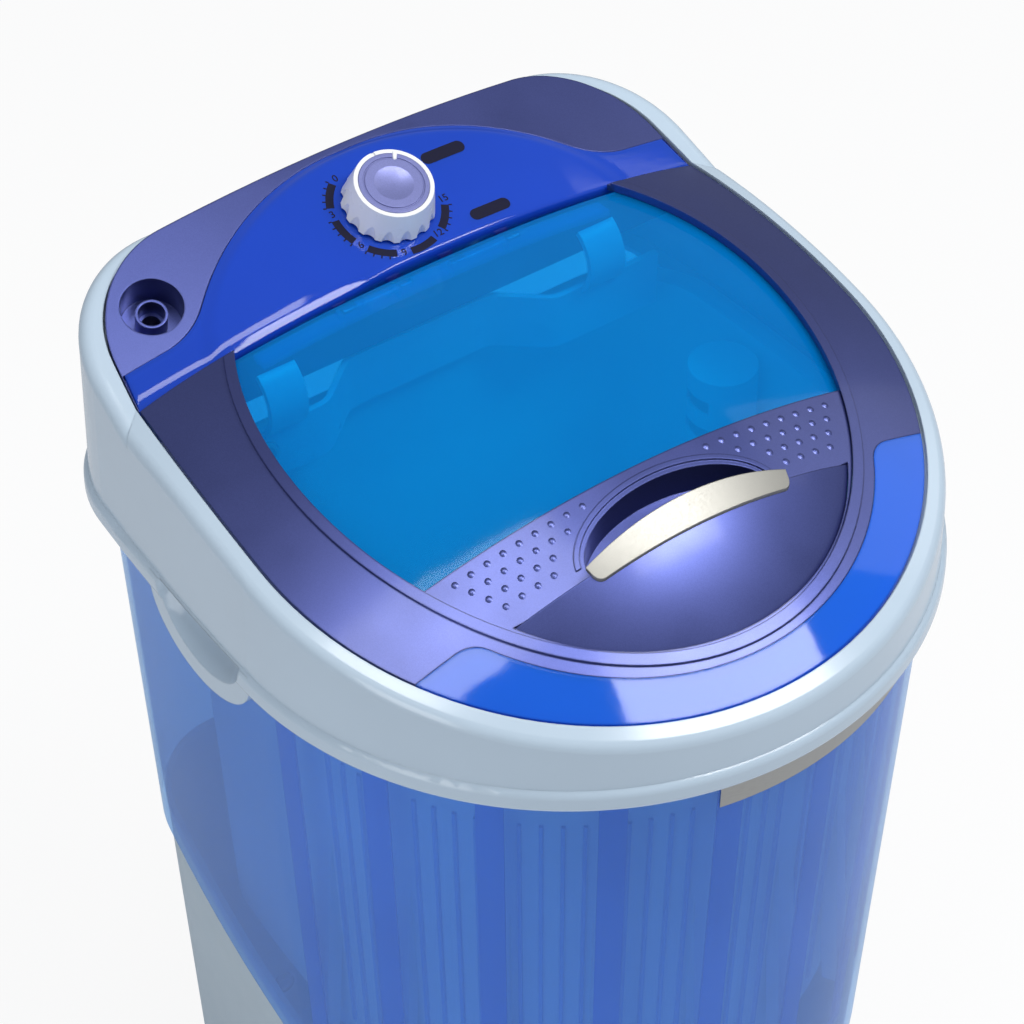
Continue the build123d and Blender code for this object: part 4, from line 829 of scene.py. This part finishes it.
    def skin(self, mesh: bmesh.types.BMesh, top: list, under: list) -> None:
        """Close two grids of points to one shell.

        Args:
            mesh: The mesh that holds the points.
            top: Columns of the face's points.
            under: Columns of the underside's points.
        """
        for face in (top, under):
            for one, two in zip(face, face[1:]):
                ribbon(mesh, one, two)
        for i in (0, -1):
            ribbon(mesh, top[i], under[i])
            ribbon(mesh, [column[i] for column in top], [column[i] for column in under])

    def spot(self, x: float, y: float, above: float = 0.0) -> Vector:
        """Give a point on the panel's surface.

        Args:
            x: Distance right of the knob's axis in millimetres.
            y: Distance up the slope from the knob's axis in millimetres.
            above: Height over the surface in millimetres.

        Returns:
            The point in metres, in the row frame.
        """
        return self.slope.point(x, y, above + self.lift - x * x / (2 * self.crown_radius))

    def arc_band(
        self, mesh: bmesh.types.BMesh, inner: float, outer: float, start: float, end: float
    ) -> None:
        """Print a curved band round the knob.

        Args:
            mesh: The mesh to add to.
            inner: Inner radius in millimetres.
            outer: Outer radius in millimetres.
            start: First angle in degrees, from the right, anticlockwise.
            end: Last angle in degrees.
        """
        steps = max(2, int(abs(end - start) / 4))
        turns = [math.radians(start + (end - start) * i / steps) for i in range(steps + 1)]
        rows = []
        for radius in (inner, outer):
            row = [self.spot(radius * math.cos(turn), radius * math.sin(turn)) for turn in turns]
            rows.append([mesh.verts.new(point) for point in row])
        ribbon(mesh, *rows)

    def dial(self) -> None:
        """Print the dial: a heavy ring, broken where the numbers stand, with ticks outside it."""
        mesh = bmesh.new()
        inner = self.ring_radius - self.ring_width / 2
        outer = self.ring_radius + self.ring_width / 2
        turns = [turn for _, turn in self.marks]
        for start, end in zip(turns, turns[1:]):
            self.arc_band(mesh, inner, outer, start + self.mark_gap, end - self.mark_gap)
            for part in range(1, 6):
                turn = start + (end - start) * part / 6
                room = (outer + self.tick_room) * math.sin(math.radians(turn))
                if self.slope.knob_run + room > self.tick_margin:
                    left, right = turn - self.tick_half, turn + self.tick_half
                    self.arc_band(mesh, outer - 0.1, outer + self.tick_length, left, right)
        ink = self.finishes["print_dark"]
        Piece("dial_print", Body.CABINET, "panel_blue", ink, False).place(mesh)

    def numbers(self) -> None:
        """Print the dial's numbers in the gaps of the ring."""
        for value, turn in self.marks:
            angle = math.radians(turn)
            curve = bpy.data.curves.new(f"dial_number_{value}", "FONT")
            curve.body = str(value)
            curve.size = self.number_size * MM
            curve.align_x = "CENTER"
            curve.align_y = "CENTER"
            curve.extrude = 0.02 * MM
            curve.offset = 0.06 * MM
            curve.materials.append(self.finishes["print_dark"])
            made = bpy.data.objects.new(f"dial_number_{value}", curve)
            bpy.context.scene.collection.objects.link(made)
            x = self.ring_radius * math.cos(angle)
            lean = math.asin(x / self.crown_radius)
            place = self.spot(x, self.ring_radius * math.sin(angle), self.number_lift)
            turned = Matrix.Rotation(self.slope.tilt, 4, "X") @ Matrix.Rotation(lean, 4, "Y")
            made.matrix_world = Matrix.Translation(place) @ turned
            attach(made, Body.CABINET.value)

    def pill(self, name: str, x: float, y: float, length: float, width: float) -> None:
        """Print a bare rounded field.

        Args:
            name: The piece's name.
            x: Middle, right of the knob's axis, in millimetres.
            y: Middle, up the slope, in millimetres.
            length: Length in millimetres.
            width: Width in millimetres.
        """
        mesh = bmesh.new()
        radius = width / 2
        straight = length / 2 - radius
        ends = [straight + radius * math.sin(math.radians(15 * step)) for step in range(7)]
        middle = [straight * step / 6 for step in range(-5, 6)]
        rows = []
        for along in [-end for end in reversed(ends)] + middle + ends:
            over = max(0.0, abs(along) - straight)
            half = math.sqrt(max(radius * radius - over * over, 0.0001))
            places = [(x + along, y + half * step / 2) for step in range(-2, 3)]
            points = [self.spot(*place, self.field_lift) for place in places]
            rows.append([mesh.verts.new(point) for point in points])
        lines = list(zip(*rows))
        for one, two in zip(lines, lines[1:]):
            ribbon(mesh, one, two)
        ink = self.finishes["print_dark"]
        Piece(name, Body.CABINET, "panel_blue", ink, False).place(mesh)

    def build(self) -> None:
        """Build the panel's cover and its printing."""
        self.cover()
        self.dial()
        self.numbers()
        self.pill("field_rear", 40.3, 14.0, 24.0, 6.5)
        self.pill("field_right", 43.0, -22.5, 22.0, 6.2)


@dataclass
class Knob:
    """The timer knob's raised white pointer, in millimetres.

    Each section holds its distance from the knob's axis, its half width and its top.
    """

    finishes: Finishes
    slope: Slope = Slope()
    pointer_turn: float = math.radians(56.0)
    foot: float = 15.8
    bevel: float = 0.35
    bevel_share: float = 0.6
    sections: tuple[Point, ...] = (
        (13.0, 0.35, 17.25),
        (13.5, 0.85, 17.65),
        (17.4, 1.15, 17.7),
        (18.0, 0.8, 17.2),
    )

    def spot(self, along: float, across: float, height: float) -> Vector:
        """Give a point of the pointer in metres.

        Args:
            along: Distance from the knob's axis along the pointer, in millimetres.
            across: Distance to its left, in millimetres.
            height: Height over the panel's slope, in millimetres.

        Returns:
            The point in the row frame.
        """
        x = along * math.cos(self.pointer_turn) - across * math.sin(self.pointer_turn)
        up = along * math.sin(self.pointer_turn) + across * math.cos(self.pointer_turn)
        return self.slope.point(x, up, height)

    def build(self) -> None:
        """Build the pointer, a low tapered bar across the cap's edge."""
        mesh = bmesh.new()
        rows = []
        for along, half, top in self.sections:
            side = ((half, self.foot), (half, top - self.bevel), (self.bevel_share * half, top))
            outline = [(-across, height) for across, height in side] + list(reversed(side))
            points = [self.spot(along, across, height) for across, height in outline]
            rows.append([mesh.verts.new(point) for point in points])
        for one, two in zip(rows, rows[1:]):
            ribbon(mesh, one, two, closed=True)
        mesh.faces.new(rows[0])
        mesh.faces.new(rows[-1])
        white = self.finishes["knob_white"]
        Piece("knob_pointer", Body.KNOB, "knob_white", white, False).place(mesh)


@dataclass
class Cabinet:
    """The shell's bare plate and ribs and the wash tub's fine flutes, in millimetres and degrees.

    The flute's profile holds places along and over the tub's wall.
    """

    finishes: Finishes
    shell_radius: float = 166.0
    shell_top: float = 457.8
    tub_radius: float = 149.0
    tub_top: float = 467.0
    front_y: float = -12.0
    taper: float = math.tan(math.radians(3.2))
    plate_turns: tuple[float, float] = (-12.0, 42.0)
    plate_heights: tuple[float, float] = (431.0, 446.5)
    plate_proud: tuple[float, float] = (0.1, 0.5)
    plate_steps: int = 27
    rib_step: float = 19.0
    rib_half: float = 2.2
    rib_heights: tuple[float, float] = (190.0, 446.0)
    rib_proud: tuple[float, float] = (-3.9, -2.45)
    flute_limit: float = 88.0
    flute_heights: tuple[float, float] = (226.0, 414.0)
    flute_profile: tuple[tuple[float, float], ...] = (
        (-1.1, -0.3),
        (-0.8, 1.6),
        (0.8, 1.6),
        (1.1, -0.3),
    )

    def shell_point(self, turn: float, z: float, proud: float) -> Vector:
        """Give a point on the shell's round front.

        Args:
            turn: Angle from the front, towards the right, in degrees.
            z: Height in millimetres.
            proud: Distance outside the shell in millimetres.

        Returns:
            The point in metres.
        """
        reach = self.shell_radius - self.taper * (self.shell_top - z) + proud
        angle = math.radians(turn)
        return Vector((reach * math.sin(angle), self.front_y - reach * math.cos(angle), z)) * MM

    def plate(self) -> None:
        """Build the bare metal strip that is fixed to the shell under the collar."""
        start, end = self.plate_turns
        low, high = self.plate_heights
        seat, face = self.plate_proud
        steps = self.plate_steps
        turns = [start + (end - start) * i / steps for i in range(steps + 1)]
        mesh = bmesh.new()
        rows = []
        for z, proud in ((low, seat), (low, face), (high, face), (high, seat)):
            points = [self.shell_point(turn, z, proud) for turn in turns]
            rows.append([mesh.verts.new(point) for point in points])
        for one, two in zip(rows, rows[1:] + rows[:1]):
            ribbon(mesh, one, two)
        for i in (0, steps):
            mesh.faces.new([row[i] for row in rows])
        grey = self.finishes["plate_grey"]
        Piece("shell_plate", Body.CABINET, "steel", grey, False).place(mesh)

    def ribs(self) -> None:
        """Build the broad upright ribs inside the shell, in a deeper blue than the shell: painted
        shade that darkens the stripes.
        """
        mesh = bmesh.new()
        for rib in range(-5, 5):
            middle = (rib + 0.5) * self.rib_step
            turns = [middle + self.rib_half * i / 2 for i in range(-2, 3)]
            rows = []
            for z in self.rib_heights:
                for proud in self.rib_proud:
                    points = [self.shell_point(turn, z, proud) for turn in turns]
                    rows.append([mesh.verts.new(point) for point in points])
            for one, two in ((0, 1), (2, 3), (0, 2), (1, 3)):
                ribbon(mesh, rows[one], rows[two])
            for i in (0, -1):
                mesh.faces.new((rows[0][i], rows[1][i], rows[3][i], rows[2][i]))
        blue = self.finishes["rib_painted_shade"]
        Piece("shell_ribs", Body.CABINET, "shell_blue", blue, False).place(mesh)

    def flutes(self) -> None:
        """Build the fine upright flutes between the tub's ribs, coloured a darker blue than the tub
        as painted shade of grooves.
        """
        mesh = bmesh.new()
        for rib in range(-5, 5):
            for part in range(1, 5):
                turn = (rib + 0.5 + part / 5) * self.rib_step
                if abs(turn) < self.flute_limit:
                    self.flute(mesh, turn)
        blue = self.finishes["flute_painted_shade"]
        Piece("tub_flutes", Body.CABINET, "inner_blue", blue, False).place(mesh)

    def flute(self, mesh: bmesh.types.BMesh, turn: float) -> None:
        """Add one flute to the tub's outside.

        Args:
            mesh: The mesh to add to.
            turn: Angle from the front in degrees.
        """
        rows = []
        for z in self.flute_heights:
            reach = self.tub_radius - self.taper * (self.tub_top - z)
            row = []
            for offset, proud in self.flute_profile:
                angle = math.radians(turn) + offset / reach
                x = (reach + proud) * math.sin(angle)
                y = self.front_y - (reach + proud) * math.cos(angle)
                row.append(mesh.verts.new((x * MM, y * MM, z * MM)))
            rows.append(row)
        ribbon(mesh, *rows)
        mesh.faces.new(rows[0][::-1])
        mesh.faces.new(rows[1])

    def build(self) -> None:
        """Build the cabinet's details."""
        self.plate()
        self.ribs()
        self.flutes()


@dataclass
class Dressing:
    """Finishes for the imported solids."""

    finishes: Finishes
    frame: dict
    special: tuple[tuple[str, str], ...] = (
        ("lid_front_accent", "accent_blue"),
        ("lid_hinge_rail", "window_blue"),
        # The grip dome and the water inlet wear the lighter purple copy, a painted highlight.
        ("lid_grip_dome", "purple_painted_highlight"),
        ("water_inlet", "purple_painted_highlight"),
    )

    def dress(self) -> None:
        """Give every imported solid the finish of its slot, or its own one."""
        slots = {part["node"]: part["material_slot"] for part in self.frame["record"]["subparts"]}
        special = dict(self.special)
        for name, node in self.frame["nodes"].items():
            finish = special.get(name, slots[name])
            node.data.materials.clear()
            node.data.materials.append(self.finishes[finish])
            LOG.info("node %s wears %s", name, finish)


@dataclass
class Studio:
    """Plain pale floor, soft light and the photograph's camera."""

    camera_place: Point = (-0.81071, -1.10453, 1.70253)
    bearing: float = 35.582
    dip: float = 42.275
    lens: float = 142.62
    floor_glow: float = 0.89
    floor_reach: float = 12.0
    fill_colour: Colour = (0.86, 0.91, 1.0)
    fill_strength: float = 0.32

    def floor(self) -> None:
        """Lay a large pale floor that looks white to the camera and keeps the shadow."""
        mesh = bmesh.new()
        bmesh.ops.create_grid(mesh, x_segments=1, y_segments=1, size=self.floor_reach)
        data = bpy.data.meshes.new("floor")
        mesh.to_mesh(data)
        mesh.free()
        sheet = Sheet("floor_white")
        skin = sheet.add("ShaderNodeBsdfPrincipled", Roughness=0.9)
        skin.inputs["Base Color"].default_value = (0.84, 0.86, 0.88, 1.0)
        shadowed = sheet.add("ShaderNodeBsdfDiffuse")
        shadowed.inputs["Color"].default_value = (1.0, 1.0, 1.0, 1.0)
        glow = sheet.add("ShaderNodeEmission", Strength=1.0)
        seen = sheet.add("ShaderNodeMixShader")
        seen.inputs["Fac"].default_value = self.floor_glow
        sheet.join(shadowed.outputs["BSDF"], seen.inputs[1])
        sheet.join(glow.outputs["Emission"], seen.inputs[2])
        paths = sheet.add("ShaderNodeLightPath")
        chosen = sheet.add("ShaderNodeMixShader")
        sheet.join(paths.outputs["Is Camera Ray"], chosen.inputs["Fac"])
        sheet.join(skin.outputs["BSDF"], chosen.inputs[1])
        sheet.join(seen.outputs["Shader"], chosen.inputs[2])
        data.materials.append(sheet.close(chosen.outputs["Shader"]))
        made = bpy.data.objects.new("floor", data)
        bpy.context.scene.collection.objects.link(made)

    def lamp(
        self, name: str, place: Point, target: Point, size: tuple[float, float], power: float
    ) -> None:
        """Hang a soft rectangular lamp.

        Args:
            name: The lamp's name.
            place: Where it hangs, in metres.
            target: The point it faces.
            size: Width and height in metres.
            power: Power in watts.
        """
        data = bpy.data.lights.new(name, "AREA")
        data.shape = "RECTANGLE"
        data.size, data.size_y = size
        data.energy = power
        made = bpy.data.objects.new(name, data)
        made.location = place
        made.rotation_euler = (Vector(target) - Vector(place)).to_track_quat("-Z", "Y").to_euler()
        bpy.context.scene.collection.objects.link(made)

    def world(self) -> None:
        """Set a pale, even world that is white to the camera."""
        world = bpy.data.worlds.new("studio")
        world.use_nodes = True
        tree = world.node_tree
        tree.nodes.clear()
        output = tree.nodes.new("ShaderNodeOutputWorld")
        paths = tree.nodes.new("ShaderNodeLightPath")
        seen = tree.nodes.new("ShaderNodeBackground")
        seen.inputs["Color"].default_value = (1.0, 1.0, 1.0, 1.0)
        seen.inputs["Strength"].default_value = 1.0
        fill = tree.nodes.new("ShaderNodeBackground")
        fill.inputs["Color"].default_value = (*self.fill_colour, 1.0)
        fill.inputs["Strength"].default_value = self.fill_strength
        mixed = tree.nodes.new("ShaderNodeMixShader")
        tree.links.new(paths.outputs["Is Camera Ray"], mixed.inputs["Fac"])
        tree.links.new(fill.outputs["Background"], mixed.inputs[1])
        tree.links.new(seen.outputs["Background"], mixed.inputs[2])
        tree.links.new(mixed.outputs["Shader"], output.inputs["Surface"])
        bpy.context.scene.world = world

    def camera(self) -> None:
        """Stand the camera where the photograph was taken."""
        data = bpy.data.cameras.new("camera")
        data.lens = self.lens
        data.sensor_width = 36.0
        data.clip_start = 0.05
        made = bpy.data.objects.new("camera", data)
        made.location = self.camera_place
        made.rotation_euler = (math.radians(90.0 - self.dip), 0.0, math.radians(-self.bearing))
        bpy.context.scene.collection.objects.link(made)
        bpy.context.scene.camera = made

    def build(self) -> None:
        """Build the studio."""
        self.floor()
        self.world()
        self.lamp("softbox_top", (-0.15, -0.09, 2.4), (-0.15, -0.09, 0.0), (1.2, 0.54), 13.0)
        self.lamp("softbox_key", (0.8, -0.85, 2.35), (0.8, -0.85, 0.0), (1.1, 0.7), 26.5)
        self.lamp("softbox_left", (-2.2, -0.9, 0.9), (0.0, 0.0, 0.4), (1.0, 1.6), 11.0)
        self.lamp("softbox_right", (1.95, -0.05, 1.95), (0.0, 0.0, 0.5), (1.0, 1.0), 3.2)
        self.camera()
        bpy.context.scene.view_settings.view_transform = "Standard"


def main() -> None:
    """Load the frame, dress it, add the details and set up the studio."""
    logging.basicConfig(level=logging.INFO, format="%(name)s: %(message)s")
    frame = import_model()
    finishes = Finishes()
    Dressing(finishes, frame).dress()
    for assembly in (Lid(finishes), ControlPanel(finishes), Knob(finishes), Cabinet(finishes)):
        assembly.build()
        LOG.info("%s is built", type(assembly).__name__)
    Studio().build()


if __name__ == "__main__":
    main()
